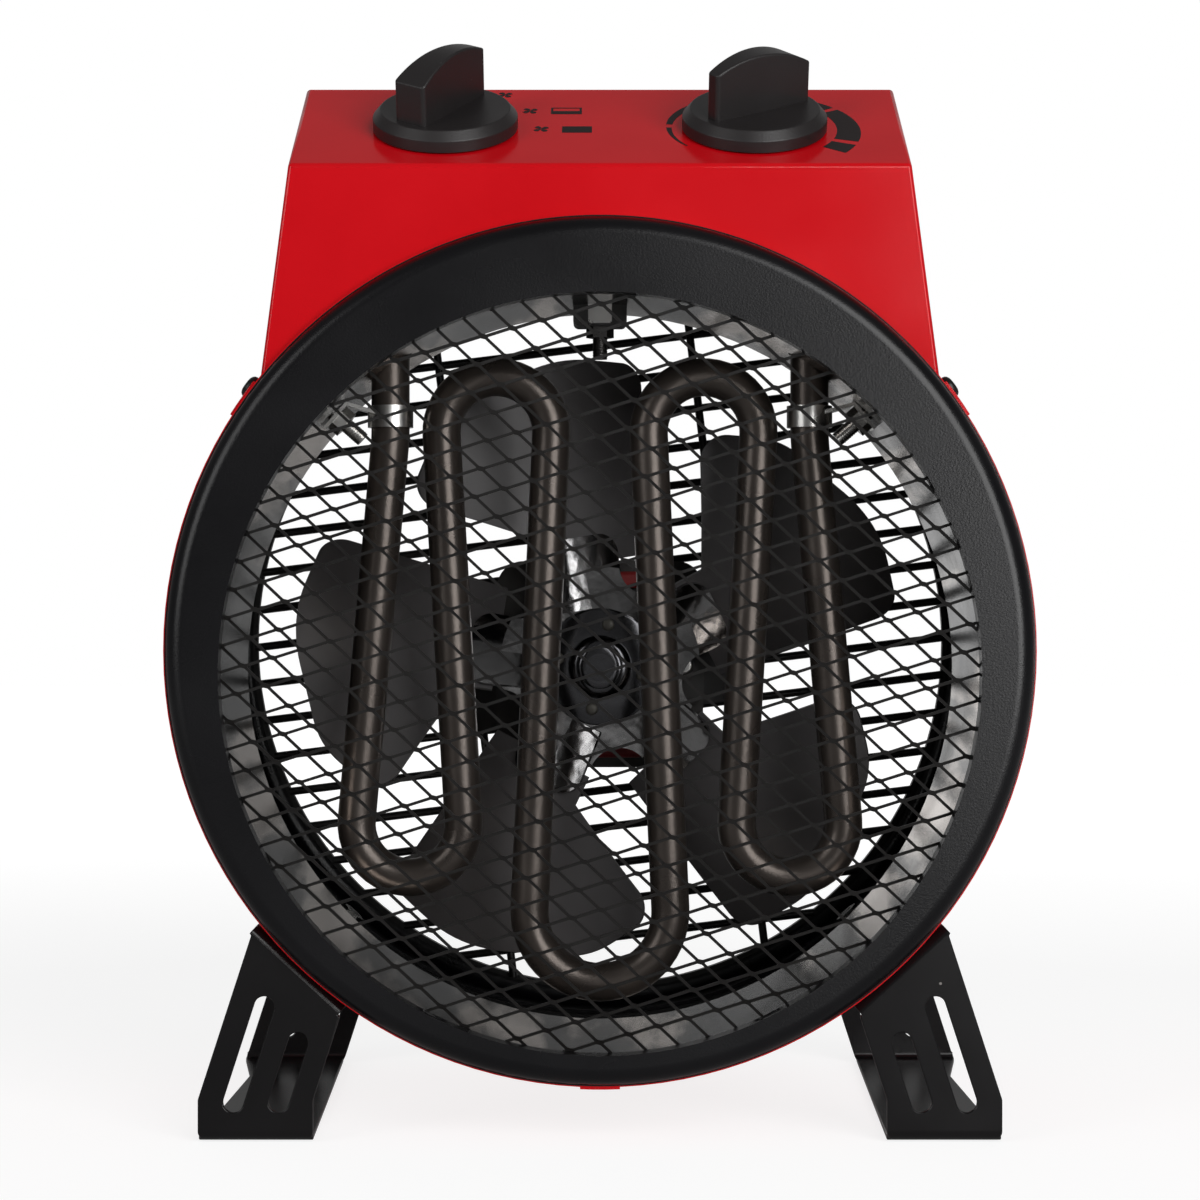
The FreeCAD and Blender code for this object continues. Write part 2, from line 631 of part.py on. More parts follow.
def flange_place(y, down):
    """Place in the flange's section: a depth, and a distance out from the drum's wall."""
    return flange_start + foot_normal * (down - FOOT_SHEET) + Vector(0, y, 0)


flange_section = outline(
    [(foot_front_y, FOOT_BEND, 0), (foot_front_y, 0, FOOT_BEND), (foot_front_y + FOOT_FLANGE, 0, 0),
     (foot_front_y + FOOT_FLANGE, FOOT_SHEET, 0),
     (foot_front_y + FOOT_SHEET, FOOT_SHEET, FOOT_BEND - FOOT_SHEET),
     (foot_front_y + FOOT_SHEET, FOOT_BEND, 0)], flange_place)
front_flange = flange_section.extrude(flange_width)
rear_flange = front_flange.mirror(Vector(0, (foot_front_y + foot_back_y) / 2, 0), Vector(0, 1, 0))
plate_trim = flange_start + foot_normal * (FOOT_BEND - FOOT_SHEET)
above_plate = Part.makeBox(DRUM_RADIUS, FOOT_LENGTH, DRUM_RADIUS)
above_plate.Placement = FreeCAD.Placement(
    Vector(plate_trim.x, foot_front_y, plate_trim.z) - foot_tangent * DRUM_RADIUS / 2,
    FreeCAD.Rotation(Vector(0, 1, 0), FOOT_ANGLE - 90))
right_foot = right_foot.cut(above_plate).fuse([front_flange, rear_flange])


def foot_slot(edge_x, length):
    """Cutter for a leaning slot through both plates."""
    along = Vector(-lean, 0, 1).normalize()
    low = Vector(edge_x - (SLOT_FOOT_HEIGHT - FOOT_KNEE_HEIGHT) * lean, 0, SLOT_FOOT_HEIGHT)
    high = low + along * (length - SLOT_WIDTH)
    side = Vector(along.z, 0, -along.x) * (SLOT_WIDTH / 2)
    edges = [Part.LineSegment(low + side, high + side).toShape(),
             Part.Arc(high + side, high + along * (SLOT_WIDTH / 2), high - side).toShape(),
             Part.LineSegment(high - side, low - side).toShape(),
             Part.Arc(low - side, low - along * (SLOT_WIDTH / 2), low + side).toShape()]
    return extrude_between(Part.Face(Part.Wire(edges)), Vector(0, 1, 0), foot_front_y, FOOT_LENGTH)


slot_outer_x = FOOT_OUTER_X - SLOT_MARGIN
foot_cutters = [foot_slot(slot_outer_x, SLOT_OUTER_LENGTH),
                foot_slot(slot_outer_x - SLOT_SPACING, SLOT_INNER_LENGTH)]
foot_cutters += [drum_hole(-FOOT_ANGLE, y, HOLE_RADIUS) for y in foot_screw_ys]
right_foot = right_foot.cut(foot_cutters)
left_foot = mirror_x(right_foot)

# Foot screws run in from under the flange and have nuts inside the drum
foot_screws = []
foot_nuts = []
nut_seat = math.sqrt(SHELL_INNER ** 2 - NUT_RADIUS ** 2)
for angle in foot_angles:
    for y in foot_screw_ys:
        axis_point = Vector(0, y, AXIS_HEIGHT)
        out = direction(angle)
        shank = plate_line - nut_seat + NUT_HEIGHT
        nut_inner = axis_point + out * (nut_seat - NUT_HEIGHT)
        foot_screws.append(pan_screw(axis_point + out * plate_line, out, shank))
        foot_nuts.append(hex_nut(NUT_RADIUS, NUT_HEIGHT, SCREW_RADIUS, nut_inner, out))

# Control hood: a folded sheet with flared sides, an inclined panel and a flat rear top
panel_cos = math.cos(math.radians(PANEL_ANGLE))
hood_bottom = AXIS_HEIGHT + DRUM_RADIUS / 4


def hood_section(y, edge_z, top_z, inset):
    """Four-sided section of the hood at a depth, with its top edge and wall inset."""
    def half_at(z):
        return PANEL_WIDTH / 2 + (edge_z - z) * flare - inset / math.cos(flare_angle)
    corners = [(-half_at(hood_bottom), hood_bottom), (half_at(hood_bottom), hood_bottom),
               (half_at(top_z), top_z), (-half_at(top_z), top_z)]
    places = [Vector(x, y, z) for x, z in corners]
    return Part.makePolygon(places + places[:1])


def hood_block(inset, y_start, y_end):
    """The hood's outer form, drawn in by an inset, from one depth to another."""
    inset_end = HOOD_FRONT + (PANEL_RISE - inset + inset / panel_cos) / panel_slope
    pieces = []
    if y_start < inset_end:
        start_edge = hood_edge_height(y_start)
        first = hood_section(y_start, start_edge, start_edge - inset / panel_cos, inset)
        last = hood_section(inset_end, PANEL_TOP, PANEL_TOP - inset, inset)
        pieces.append(Part.makeLoft([first, last], True, True))
        y_start = inset_end
    rear = Part.Face(hood_section(y_start, PANEL_TOP, PANEL_TOP - inset, inset))
    pieces.append(rear.extrude(Vector(0, y_end - y_start, 0)))
    block = pieces[0]
    for piece in pieces[1:]:
        block = block.fuse(piece)
    return block


drum_core = rod_along_y(DRUM_RADIUS, FRONT - OVERALL_DEPTH, BACK + OVERALL_DEPTH, 0, AXIS_HEIGHT)
panel_turn = FreeCAD.Rotation(Vector(1, 0, 0), PANEL_ANGLE)
panel_middle_y = HOOD_FRONT + PANEL_RUN / 2
panel_middle_z = PANEL_FRONT_HEIGHT + PANEL_RISE / 2
cover_screw_y = HOOD_BACK - COVER_DEPTH / 2
wall_out = Vector(1, 0, flare).normalize()
wall_x = PANEL_WIDTH / 2 + (PANEL_TOP - COVER_SCREW_HEIGHT) * flare
cover_seat = Vector(wall_x, cover_screw_y, COVER_SCREW_HEIGHT)
cover_hole = Part.makeCylinder(HOLE_RADIUS, 2 * COVER_DEPTH, cover_seat - wall_out * COVER_DEPTH, wall_out)
cover_holes = both_sides(cover_hole)


def on_panel(shape, side, turn=0.0):
    """Move a shape made about the spindle's axis onto the panel, turned about that axis."""
    spin = FreeCAD.Rotation(Vector(0, 0, 1), turn)
    moved = shape.copy()
    middle = Vector(side * KNOB_X, panel_middle_y, panel_middle_z)
    place = middle - panel_turn.multVec(Vector(0, KNOB_DROP, 0))
    moved.Placement = FreeCAD.Placement(place, panel_turn * spin)
    return moved


switch_screw_places = [Vector(side * SWITCH_SCREW_SPACING / 2, 0, 0) for side in (-1, 1)]
below_panel = Vector(0, 0, -2 * SHEET)
through_panel = 4 * SHEET
panel_cut = [Part.makeCylinder(SPINDLE_HOLE_RADIUS, through_panel, below_panel)]
panel_cut += [Part.makeCylinder(SWITCH_SCREW_RADIUS + SCREW_CLEARANCE, through_panel, place + below_panel)
              for place in switch_screw_places]
control_hood = hood_block(0, HOOD_FRONT, HOOD_BACK)
control_hood = control_hood.cut(hood_block(SHEET, HOOD_FRONT + SHEET, HOOD_BACK + SHEET)).cut(drum_core)
tab_arc = math.degrees(HOOD_TAB_WIDTH / DRUM_RADIUS)
tab_root = math.degrees(HOOD_TAB_ROOT / DRUM_RADIUS)
for tab_y in HOOD_TAB_YS:
    tab_high = hood_wall_angle(tab_y + HOOD_TAB_LENGTH / 2, DRUM_RADIUS)
    hood_tab = arc_plate(DRUM_RADIUS, DRUM_RADIUS + SHEET, tab_high - tab_arc, tab_high + tab_root,
                         tab_y - HOOD_TAB_LENGTH / 2, tab_y + HOOD_TAB_LENGTH / 2)
    control_hood = control_hood.fuse(both_sides(hood_tab))
hood_cutters = [on_panel(cutter, side) for side in (-1, 1) for cutter in panel_cut] + cover_holes
hood_cutters += [drum_hole(angle, y, HOLE_RADIUS) for angle, y in hood_places]
control_hood = control_hood.cut(hood_cutters)

# Rear cover of the hood: a shallow pan that slides in between the hood's walls
cover_inset = SHEET + COVER_GAP
cover_front = HOOD_BACK - COVER_DEPTH
hood_back = hood_block(cover_inset, cover_front, HOOD_BACK)
hood_back = hood_back.cut(hood_block(cover_inset + SHEET, cover_front - SHEET, HOOD_BACK - SHEET))
cover_core = rod_along_y(DRUM_RADIUS + COVER_GAP, FRONT, BACK, 0, AXIS_HEIGHT)
gland_hole = rod_along_y(GLAND_THREAD_RADIUS + COVER_GAP, FRONT, BACK, GLAND_X, GLAND_HEIGHT)
hood_back = hood_back.cut(cover_core).cut(cover_holes + [gland_hole])

# Screws of the hood's tabs, and long ones inside the hood that reach the element clips
def liner_wall(angle):
    """Distance from the drum's axis to the liner's inner wall, along a direction."""
    lift = DUCT_DROP * math.sin(math.radians(angle))
    return -lift + math.sqrt(lift ** 2 + LINER_RADIUS ** 2 - DUCT_DROP ** 2)


tab_seat = DRUM_RADIUS + SHEET
hood_screws = [pan_screw(Vector(0, y, AXIS_HEIGHT) + direction(angle) * tab_seat, direction(angle),
                         tab_seat - SHELL_INNER + NUT_HEIGHT) for angle, y in hood_places]
clip_seat = liner_wall(clip_screw_angle) - CLIP_GAP - CLIP_SHEET
clip_screws = []
clip_nuts = []
for angle in clip_angles:
    out = direction(angle)
    clip_axis = Vector(0, ELEMENT_Y, AXIS_HEIGHT)
    clip_shank = DRUM_RADIUS - clip_seat + NUT_HEIGHT + THREAD_END
    nut_inner = clip_axis + out * (clip_seat - NUT_HEIGHT)
    clip_screws.append(pan_screw(clip_axis + out * DRUM_RADIUS, out, clip_shank))
    clip_nuts.append(hex_nut(NUT_RADIUS, NUT_HEIGHT, SCREW_RADIUS, nut_inner, out))
cover_screws = both_sides(pan_screw(cover_seat, wall_out, 2 * SHEET + NUT_HEIGHT))

# Heating element: one tube on circles joined by straight legs that touch them on alternate sides
outer_centre = Vector(-OUTER_BEND_X, OUTER_BEND_BOTTOM + OUTER_BEND_RADIUS, 0)
top_centre = Vector(-TOP_BEND_X, LINER_RADIUS - TOP_BEND_GAP - TOP_BEND_RADIUS, 0)
middle_centre = Vector(0, MIDDLE_BEND_GAP - LINER_RADIUS + MIDDLE_BEND_RADIUS, 0)


def crossing_leg(low, low_radius, high, high_radius, side):
    """Straight leg between two bends: side 1 runs from the low one's right to the high one's left."""
    reach = high - low
    bearing = math.atan2(reach.y, reach.x)
    swing = math.acos((low_radius + high_radius) / reach.Length)
    normal_angle = bearing - side * swing
    normal = Vector(math.cos(normal_angle), math.sin(normal_angle), 0)
    return low + normal * low_radius, high - normal * high_radius


def leg_from_point(point, centre, radius):
    """Place on the left of a bend where a straight leg from a point touches it."""
    reach = centre - point
    swing = math.asin(radius / reach.Length)
    bearing = math.atan2(reach.y, reach.x) - swing
    length = math.sqrt(reach.Length ** 2 - radius ** 2)
    return point + Vector(math.cos(bearing), math.sin(bearing), 0) * length


tube_end = Vector(-TERMINAL_X, tube_end_z - DUCT_HEIGHT, 0)
leg_start = tube_end - Vector(0, TERMINAL_STRAIGHT, 0)
outer_in = leg_from_point(leg_start, outer_centre, OUTER_BEND_RADIUS)
outer_out, top_in = crossing_leg(outer_centre, OUTER_BEND_RADIUS, top_centre, TOP_BEND_RADIUS, 1)
middle_in, top_out = crossing_leg(middle_centre, MIDDLE_BEND_RADIUS, top_centre, TOP_BEND_RADIUS, -1)


def in_element_plane(point):
    """Place of a flat point in the element's upright plane."""
    return Vector(point.x, ELEMENT_Y, DUCT_HEIGHT + point.y)


def tube_leg(start, end):
    """Straight stretch of the tube."""
    reach = in_element_plane(end) - in_element_plane(start)
    return Part.makeCylinder(TUBE_RADIUS, reach.Length, in_element_plane(start), reach)


def tube_bend(centre, start, end, turn):
    """Bend of the tube about a centre, turning 1 anticlockwise or -1 clockwise in the front view."""
    from_angle = math.atan2(start.y - centre.y, start.x - centre.x)
    to_angle = math.atan2(end.y - centre.y, end.x - centre.x)
    sweep = math.degrees(to_angle - from_angle) * turn % 360
    along = Vector(-math.sin(from_angle), 0, math.cos(from_angle))
    section = Part.Face(Part.Wire(Part.makeCircle(TUBE_RADIUS, in_element_plane(start), along)))
    return section.revolve(in_element_plane(centre), Vector(0, -turn, 0), sweep)


# The straight end and the first leg meet in a gentle bend
leg_direction = (outer_in - leg_start).normalize()
end_turn = leg_direction.getAngle(Vector(0, -1, 0))
end_reach = END_BEND_RADIUS * math.tan(end_turn / 2)
bend_from = leg_start + Vector(0, end_reach, 0)
bend_to = leg_start + leg_direction * end_reach
end_centre = bend_from - Vector(END_BEND_RADIUS, 0, 0)
left_stretches = [
    tube_leg(tube_end, bend_from), tube_bend(end_centre, bend_from, bend_to, -1), tube_leg(bend_to, outer_in),
    tube_bend(outer_centre, outer_in, outer_out, 1), tube_leg(outer_out, top_in),
    tube_bend(top_centre, top_in, top_out, -1), tube_leg(top_out, middle_in)]
middle_out = Vector(-middle_in.x, middle_in.y, 0)
heating_element = tube_bend(middle_centre, middle_in, middle_out, 1)
right_stretches = [mirror_x(stretch) for stretch in left_stretches]
heating_element = heating_element.multiFuse(left_stretches + right_stretches)

# Ends of the element: ceramic bushes and terminal pins in the hood
right_end = Vector(TERMINAL_X, ELEMENT_Y, tube_end_z)
element_bushes = both_sides(Part.makeCylinder(BUSH_RADIUS, BUSH_LENGTH, right_end).cut(
    Part.makeCylinder(PIN_RADIUS, BUSH_LENGTH, right_end)))
element_pins = both_sides(Part.makeCylinder(PIN_RADIUS, BUSH_LENGTH + PIN_LENGTH, right_end))

# P-clips: a pad under the liner's wall, a short strap and a band round the element's end leg
clip_out = direction(clip_screw_angle)
clip_up = direction(clip_screw_angle + 90)
clip_origin = Vector(0, ELEMENT_Y, AXIS_HEIGHT) + clip_out * clip_seat
tube_at_clip = Vector(TERMINAL_X, ELEMENT_Y, DUCT_HEIGHT + clip_height)
tube_place = tube_at_clip - clip_origin


def clip_place(along, out):
    """Place in the clip's section: along the wall, and out towards it."""
    return clip_origin + clip_up * along + clip_out * out


pad_end = CLIP_PAD / 2
half_clip = CLIP_SHEET / 2
pad_corners = [(-pad_end, 0, 0), (pad_end, 0, 0), (pad_end, CLIP_SHEET, 0), (-pad_end, CLIP_SHEET, 0)]
pad_face = outline(pad_corners, clip_place)
strap_from = Vector(pad_end, half_clip, 0)
strap_to = Vector(tube_place.dot(clip_up), tube_place.dot(clip_out), 0)
strap_along = (strap_to - strap_from).normalize()
strap_side = Vector(-strap_along.y, strap_along.x, 0) * half_clip
strap_corners = [strap_from - strap_side, strap_to - strap_side,
                 strap_to + strap_side, strap_from + strap_side]
strap_face = outline([(corner.x, corner.y, 0) for corner in strap_corners], clip_place)
knee_place = clip_place(strap_from.x, strap_from.y)
strap_knee = Part.makeCylinder(half_clip, CLIP_WIDTH, knee_place, Vector(0, 1, 0))
clip_band = Part.makeCylinder(TUBE_RADIUS + CLIP_SHEET, CLIP_BAND, tube_at_clip - Vector(0, 0, CLIP_BAND / 2))
right_clip = pad_face.extrude(Vector(0, CLIP_WIDTH, 0)).fuse(
    [strap_face.extrude(Vector(0, CLIP_WIDTH, 0)), strap_knee])
right_clip.translate(Vector(0, -CLIP_WIDTH / 2, 0))
right_clip = right_clip.fuse(clip_band)
right_clip = right_clip.cut([heating_element, drum_hole(clip_screw_angle, ELEMENT_Y, HOLE_RADIUS)])
element_clips = both_sides(right_clip)

# Thermal cut-out: a small eased block on the liner's ceiling, held by a screw from above
ceiling = DUCT_HEIGHT + LINER_RADIUS
cutout_under = ceiling - CUTOUT_HEIGHT
half_cutout = CUTOUT_WIDTH / 2
cutout_face = outline(
    [(-half_cutout, cutout_under, CUTOUT_EASE), (half_cutout, cutout_under, CUTOUT_EASE),
     (half_cutout, ceiling, 0), (-half_cutout, ceiling, 0)], front_view)
thermal_cutout = extrude_between(cutout_face, Vector(0, 1, 0), cutout_y - CUTOUT_LENGTH / 2, CUTOUT_LENGTH)
thermal_cutout = thermal_cutout.common(rod_along_y(LINER_RADIUS, LINER_FRONT, LINER_BACK, 0, DUCT_HEIGHT))
thermal_cutout = thermal_cutout.cut(drum_hole(90, cutout_y, HOLE_RADIUS))
cutout_seat = Vector(0, cutout_y, DRUM_TOP)
cutout_shank = DRUM_TOP - cutout_under + THREAD_END + NUT_HEIGHT
cutout_nut_base = Vector(0, cutout_y, cutout_under - NUT_HEIGHT)
cutout_nut = hex_nut(NUT_RADIUS, NUT_HEIGHT, SCREW_RADIUS, cutout_nut_base, Vector(0, 0, 1))
cutout_screw = [pan_screw(cutout_seat, Vector(0, 0, 1), cutout_shank), cutout_nut]

# Knobs: a bevelled hollow skirt with a tapering grip whose arched top is lower in front
skirt = outline(
    [(0, KNOB_SKIRT, 0), (KNOB_TOP_RADIUS, KNOB_SKIRT, KNOB_EASE), (KNOB_RADIUS, KNOB_SIDE, KNOB_EASE),
     (KNOB_RADIUS, KNOB_LIFT, 0), (KNOB_RADIUS - KNOB_WALL, KNOB_LIFT, 0),
     (KNOB_RADIUS - KNOB_WALL, KNOB_SIDE, 0),
     (KNOB_BOSS_RADIUS, KNOB_SIDE, 0), (KNOB_BOSS_RADIUS, 2 * KNOB_LIFT, 0), (0, 2 * KNOB_LIFT, 0)],
    lambda radius, z: Vector(radius, 0, z)).revolve(Vector(0, 0, 0), Vector(0, 0, 1), 360)
half_grip = GRIP_LENGTH / 2
grip_edges = [
    Part.LineSegment(side_view(half_grip, KNOB_SIDE), side_view(half_grip, GRIP_BACK_HEIGHT)).toShape(),
    Part.Arc(side_view(half_grip, GRIP_BACK_HEIGHT), side_view(GRIP_TOP_PLACE, GRIP_TOP_HEIGHT),
             side_view(-half_grip, GRIP_FRONT_HEIGHT)).toShape(),
    Part.LineSegment(side_view(-half_grip, GRIP_FRONT_HEIGHT), side_view(-half_grip, KNOB_SIDE)).toShape(),
    Part.LineSegment(side_view(-half_grip, KNOB_SIDE), side_view(half_grip, KNOB_SIDE)).toShape()]
grip_side = extrude_between(Part.Face(Part.Wire(grip_edges)), Vector(1, 0, 0), -GRIP_WIDE, 2 * GRIP_WIDE)
grip_plan = outline(
    [(-GRIP_WIDE / 2, -half_grip, GRIP_CORNER), (GRIP_WIDE / 2, -half_grip, GRIP_CORNER),
     (GRIP_NARROW / 2, half_grip, GRIP_CORNER), (-GRIP_NARROW / 2, half_grip, GRIP_CORNER)], plan_view)
grip = grip_side.common(extrude_between(grip_plan, Vector(0, 0, 1), 0, GRIP_TOP_HEIGHT + KNOB_SKIRT))
grip_rim = [edge for edge in grip.Edges if edge.BoundBox.ZMin > GRIP_FRONT_HEIGHT - GRIP_CORNER]
grip = grip.makeFillet(KNOB_EASE, grip_rim)
spindle = Part.makeCylinder(SPINDLE_RADIUS, SPINDLE_ABOVE + SPINDLE_BELOW, Vector(0, 0, -SPINDLE_BELOW))
knob = skirt.fuse(grip).cut(Part.makeCylinder(SPINDLE_RADIUS, SPINDLE_ABOVE))
selector_knob = on_panel(knob, -1, SELECTOR_ANGLE - 90)
selector_spindle = on_panel(spindle, -1, SELECTOR_ANGLE - 90)
thermostat_knob = on_panel(knob, 1, THERMOSTAT_ANGLE - 90)
thermostat_spindle = on_panel(spindle, 1, THERMOSTAT_ANGLE - 90)

# Switch bodies under the panel: a square rotary switch and a round thermostat, with spade tabs
spindle_bore = Part.makeCylinder(SPINDLE_RADIUS + RUNNING_GAP, SPINDLE_BELOW + RUNNING_GAP,
                                 Vector(0, 0, -SPINDLE_BELOW - RUNNING_GAP))
screw_end = Vector(0, 0, -SWITCH_SCREW_LENGTH)
screw_bores = [Part.makeCylinder(SWITCH_SCREW_RADIUS, SWITCH_SCREW_LENGTH, place + screw_end)
               for place in switch_screw_places]
switch_plan = rounded_plate(SWITCH_SIDE / 2, SWITCH_SIDE / 2, SWITCH_CORNER, plan_view)
switch_floor = -SHEET - SWITCH_HEIGHT
tabs = [Part.makeBox(TAB_WIDTH, TAB_SHEET, TAB_LENGTH,
                     Vector(u * TAB_SPREAD - TAB_WIDTH / 2, v * TAB_SPREAD, switch_floor - TAB_LENGTH))
        for u in (-1, 1) for v in (-1, 1)]
square_body = extrude_between(switch_plan, Vector(0, 0, 1), switch_floor, SWITCH_HEIGHT).fuse(tabs)
round_body = Part.makeCylinder(THERMOSTAT_BODY_RADIUS, SWITCH_HEIGHT, Vector(0, 0, switch_floor))
round_body = round_body.fuse(tabs[:2])
selector_switch = on_panel(square_body.cut([spindle_bore] + screw_bores), -1)
thermostat_body = on_panel(round_body.cut([spindle_bore] + screw_bores), 1)
switch_screw = Part.makeCompound([
    pan_screw(place, Vector(0, 0, 1), SWITCH_SCREW_LENGTH,
              SWITCH_HEAD_RADIUS, SWITCH_HEAD_HEIGHT, SWITCH_SCREW_RADIUS)
    for place in switch_screw_places])
switch_screws = on_panel(switch_screw, -1).Solids + on_panel(switch_screw, 1).Solids

# Fan: five cambered blades with a swept trailing edge, behind the arms of a pressed spider
lead_reach = math.sqrt(FAN_RADIUS ** 2 - BLADE_LEAD ** 2)
shoulder = direction(BLADE_SHOULDER_ANGLE) * BLADE_SHOULDER_RADIUS
ear = direction(BLADE_EAR_ANGLE) * BLADE_EAR_RADIUS


def cambered(face, front_offset, thickness):
    """Sheet of a flat outline, bowed round an axis along the blade."""
    inner = BLADE_CURVE + front_offset
    bow_axis = Vector(0, BLADE_CURVE, 0)
    sheet = Part.makeCylinder(inner + thickness, FAN_RADIUS, bow_axis, Vector(1, 0, 0)).cut(
        Part.makeCylinder(inner, FAN_RADIUS, bow_axis, Vector(1, 0, 0)))
    return sheet.common(extrude_between(face, Vector(0, 1, 0), -BLADE_CURVE / 2, BLADE_CURVE))


def on_fan(shape, index):
    """Pitch a blade or arm and turn it to its place round the fan."""
    placed = shape.copy()
    placed.rotate(Vector(0, 0, 0), Vector(1, 0, 0), BLADE_PITCH)
    placed.rotate(Vector(0, 0, 0), Vector(0, 1, 0), -(BLADE_FIRST_ANGLE + 360 / BLADE_COUNT * index))
    placed.translate(Vector(0, FAN_Y, DUCT_HEIGHT))
    return placed


blade_outline = outline(
    [(BLADE_ROOT, -BLADE_ROOT_LEAD, 0), (lead_reach, -BLADE_LEAD, BLADE_LEAD_CORNER),
     (FAN_RADIUS, 0, BLADE_TIP_ROUND), (shoulder.x, shoulder.z, BLADE_SHOULDER_ROUND),
     (ear.x, ear.z, BLADE_EAR_CORNER), (BLADE_KNEE, BLADE_ROOT_TRAIL, 0),
     (BLADE_ROOT, BLADE_ROOT_TRAIL, 0)], front_view)
blade = cambered(blade_outline, 0, BLADE_SHEET)
fan_blades = [on_fan(blade, index) for index in range(BLADE_COUNT)]
arm_outline = outline(
    [(BOSS_FLANGE_RADIUS, -ARM_ROOT_HALF, 0), (ARM_END, -ARM_END_HALF, ARM_END_HALF / 2),
     (ARM_END, ARM_END_HALF, ARM_END_HALF / 2), (BOSS_FLANGE_RADIUS, ARM_ROOT_HALF, 0)], front_view)
arm = cambered(arm_outline, BLADE_SHEET, ARM_SHEET)
spider_back = FAN_Y - BLADE_SHEET
spider_front = spider_back - ARM_SHEET
fan_spider = rod_along_y(SPIDER_RADIUS, spider_front, spider_back, 0, DUCT_HEIGHT)
scallops = []
for index in range(BLADE_COUNT):
    between = direction(BLADE_FIRST_ANGLE + 360 / BLADE_COUNT * (index + 0.5)) * SCALLOP_PLACE
    scallops.append(rod_along_y(SCALLOP_RADIUS, FRONT, BACK, between.x, DUCT_HEIGHT + between.z))
fan_spider = fan_spider.cut(scallops).fuse([on_fan(arm, index) for index in range(BLADE_COUNT)])
fan_spider = fan_spider.cut([rod_along_y(BOSS_RADIUS, FRONT, BACK, 0, DUCT_HEIGHT)] + fan_blades)
boss_front = spider_front - BOSS_FLANGE
fan_boss = rod_along_y(BOSS_RADIUS, boss_front - BOSS_NOSE, spider_back + BOSS_TAIL, 0, DUCT_HEIGHT)
fan_boss = fan_boss.fuse(rod_along_y(BOSS_FLANGE_RADIUS, boss_front, spider_front, 0, DUCT_HEIGHT))
fan_boss = fan_boss.cut(rod_along_y(SHAFT_RADIUS, FRONT, BACK, 0, DUCT_HEIGHT)).cut(fan_spider)

# Motor: a stack with side coils, two bridges with bushes, the rotor on its shaft, and a plate
shaft_front = boss_front - BOSS_NOSE - SHAFT_NOSE
shaft_back = BRIDGE_BACK + MOTOR_BUSH_LENGTH / 2
motor_shaft = rod_along_y(SHAFT_RADIUS, shaft_front, shaft_back, 0, DUCT_HEIGHT)
motor_rotor = tube_along_y(ROTOR_RADIUS, SHAFT_RADIUS, STATOR_FRONT, STATOR_BACK, DUCT_HEIGHT)
half_stack = STATOR_SIDE / 2
stack_face = rounded_plate(half_stack, half_stack, STATOR_CORNER, lambda x, z: Vector(x, 0, DUCT_HEIGHT + z))
motor_stator = extrude_between(stack_face, Vector(0, 1, 0), STATOR_FRONT, STATOR_LENGTH)
rotor_space = rod_along_y(ROTOR_RADIUS + ROTOR_GAP, FRONT, BACK, 0, DUCT_HEIGHT)
bolt_holes = [rod_along_y(SCREW_RADIUS, FRONT, BACK, side * MOTOR_BOLT_X, DUCT_HEIGHT) for side in (-1, 1)]
coil_place = ROTOR_RADIUS + ROTOR_GAP + COIL_GAP
coil_width = half_stack - coil_place
coil_windows = []
motor_coil = []
for side in (-1, 1):
    low = DUCT_HEIGHT + (coil_place if side > 0 else -half_stack)
    coil_corner = Vector(-COIL_HEIGHT / 2, STATOR_FRONT - COIL_OVERHANG, low + (coil_width - COIL_SHEET) / 2)
    window = Part.makeBox(COIL_HEIGHT, STATOR_LENGTH + 2 * COIL_OVERHANG, COIL_SHEET, coil_corner)
    coil_windows.append(window)
    motor_coil.append(window.makeFillet(COIL_ROUND, window.Edges))
motor_stator = motor_stator.cut([rotor_space] + bolt_holes + coil_windows)


def motor_bridge(face_y, stack_y):
    """Bridge plate with two legs that stand on the stack, and a bush seat in its middle."""
    inwards = 1 if stack_y > face_y else -1
    plate = [(-half_stack, face_y, 0), (half_stack, face_y, 0), (half_stack, stack_y, 0),
             (MOTOR_BOLT_X - 2 * SCREW_RADIUS, stack_y, 0),
             (MOTOR_BOLT_X - 2 * SCREW_RADIUS, face_y + inwards * BRIDGE_SHEET, 0),
             (-MOTOR_BOLT_X + 2 * SCREW_RADIUS, face_y + inwards * BRIDGE_SHEET, 0),
             (-MOTOR_BOLT_X + 2 * SCREW_RADIUS, stack_y, 0), (-half_stack, stack_y, 0)]
    bridge_low = DUCT_HEIGHT - BRIDGE_WIDTH / 2
    bridge = extrude_between(outline(plate, plan_view), Vector(0, 0, 1), bridge_low, BRIDGE_WIDTH)
    return bridge.cut(bolt_holes + [rod_along_y(BUSH_HOUSING_RADIUS, FRONT, BACK, 0, DUCT_HEIGHT)])


motor_bridges = [motor_bridge(BRIDGE_FRONT, STATOR_FRONT), motor_bridge(BRIDGE_BACK, STATOR_BACK)]
motor_bushes = [tube_along_y(BUSH_HOUSING_RADIUS, SHAFT_RADIUS + RUNNING_GAP, middle - MOTOR_BUSH_LENGTH / 2,
                             middle + MOTOR_BUSH_LENGTH / 2, DUCT_HEIGHT)
                for middle in (BRIDGE_FRONT + BRIDGE_SHEET / 2, BRIDGE_BACK - BRIDGE_SHEET / 2)]
plate_half = CROSS_BAR_PLACE + MOTOR_PLATE_EDGE
plate_face = rounded_plate(plate_half, MOTOR_PLATE_HEIGHT / 2, MOTOR_PLATE_EDGE,
                           lambda along, across: duct_centre + guard_along * along + guard_across * across)
motor_plate = extrude_between(plate_face, Vector(0, 1, 0), PLATE_FRONT, MOTOR_PLATE_SHEET)
collars = [tube_along_y(NUT_RADIUS, SCREW_RADIUS, BRIDGE_BACK, PLATE_FRONT, DUCT_HEIGHT) for side in (-1, 1)]
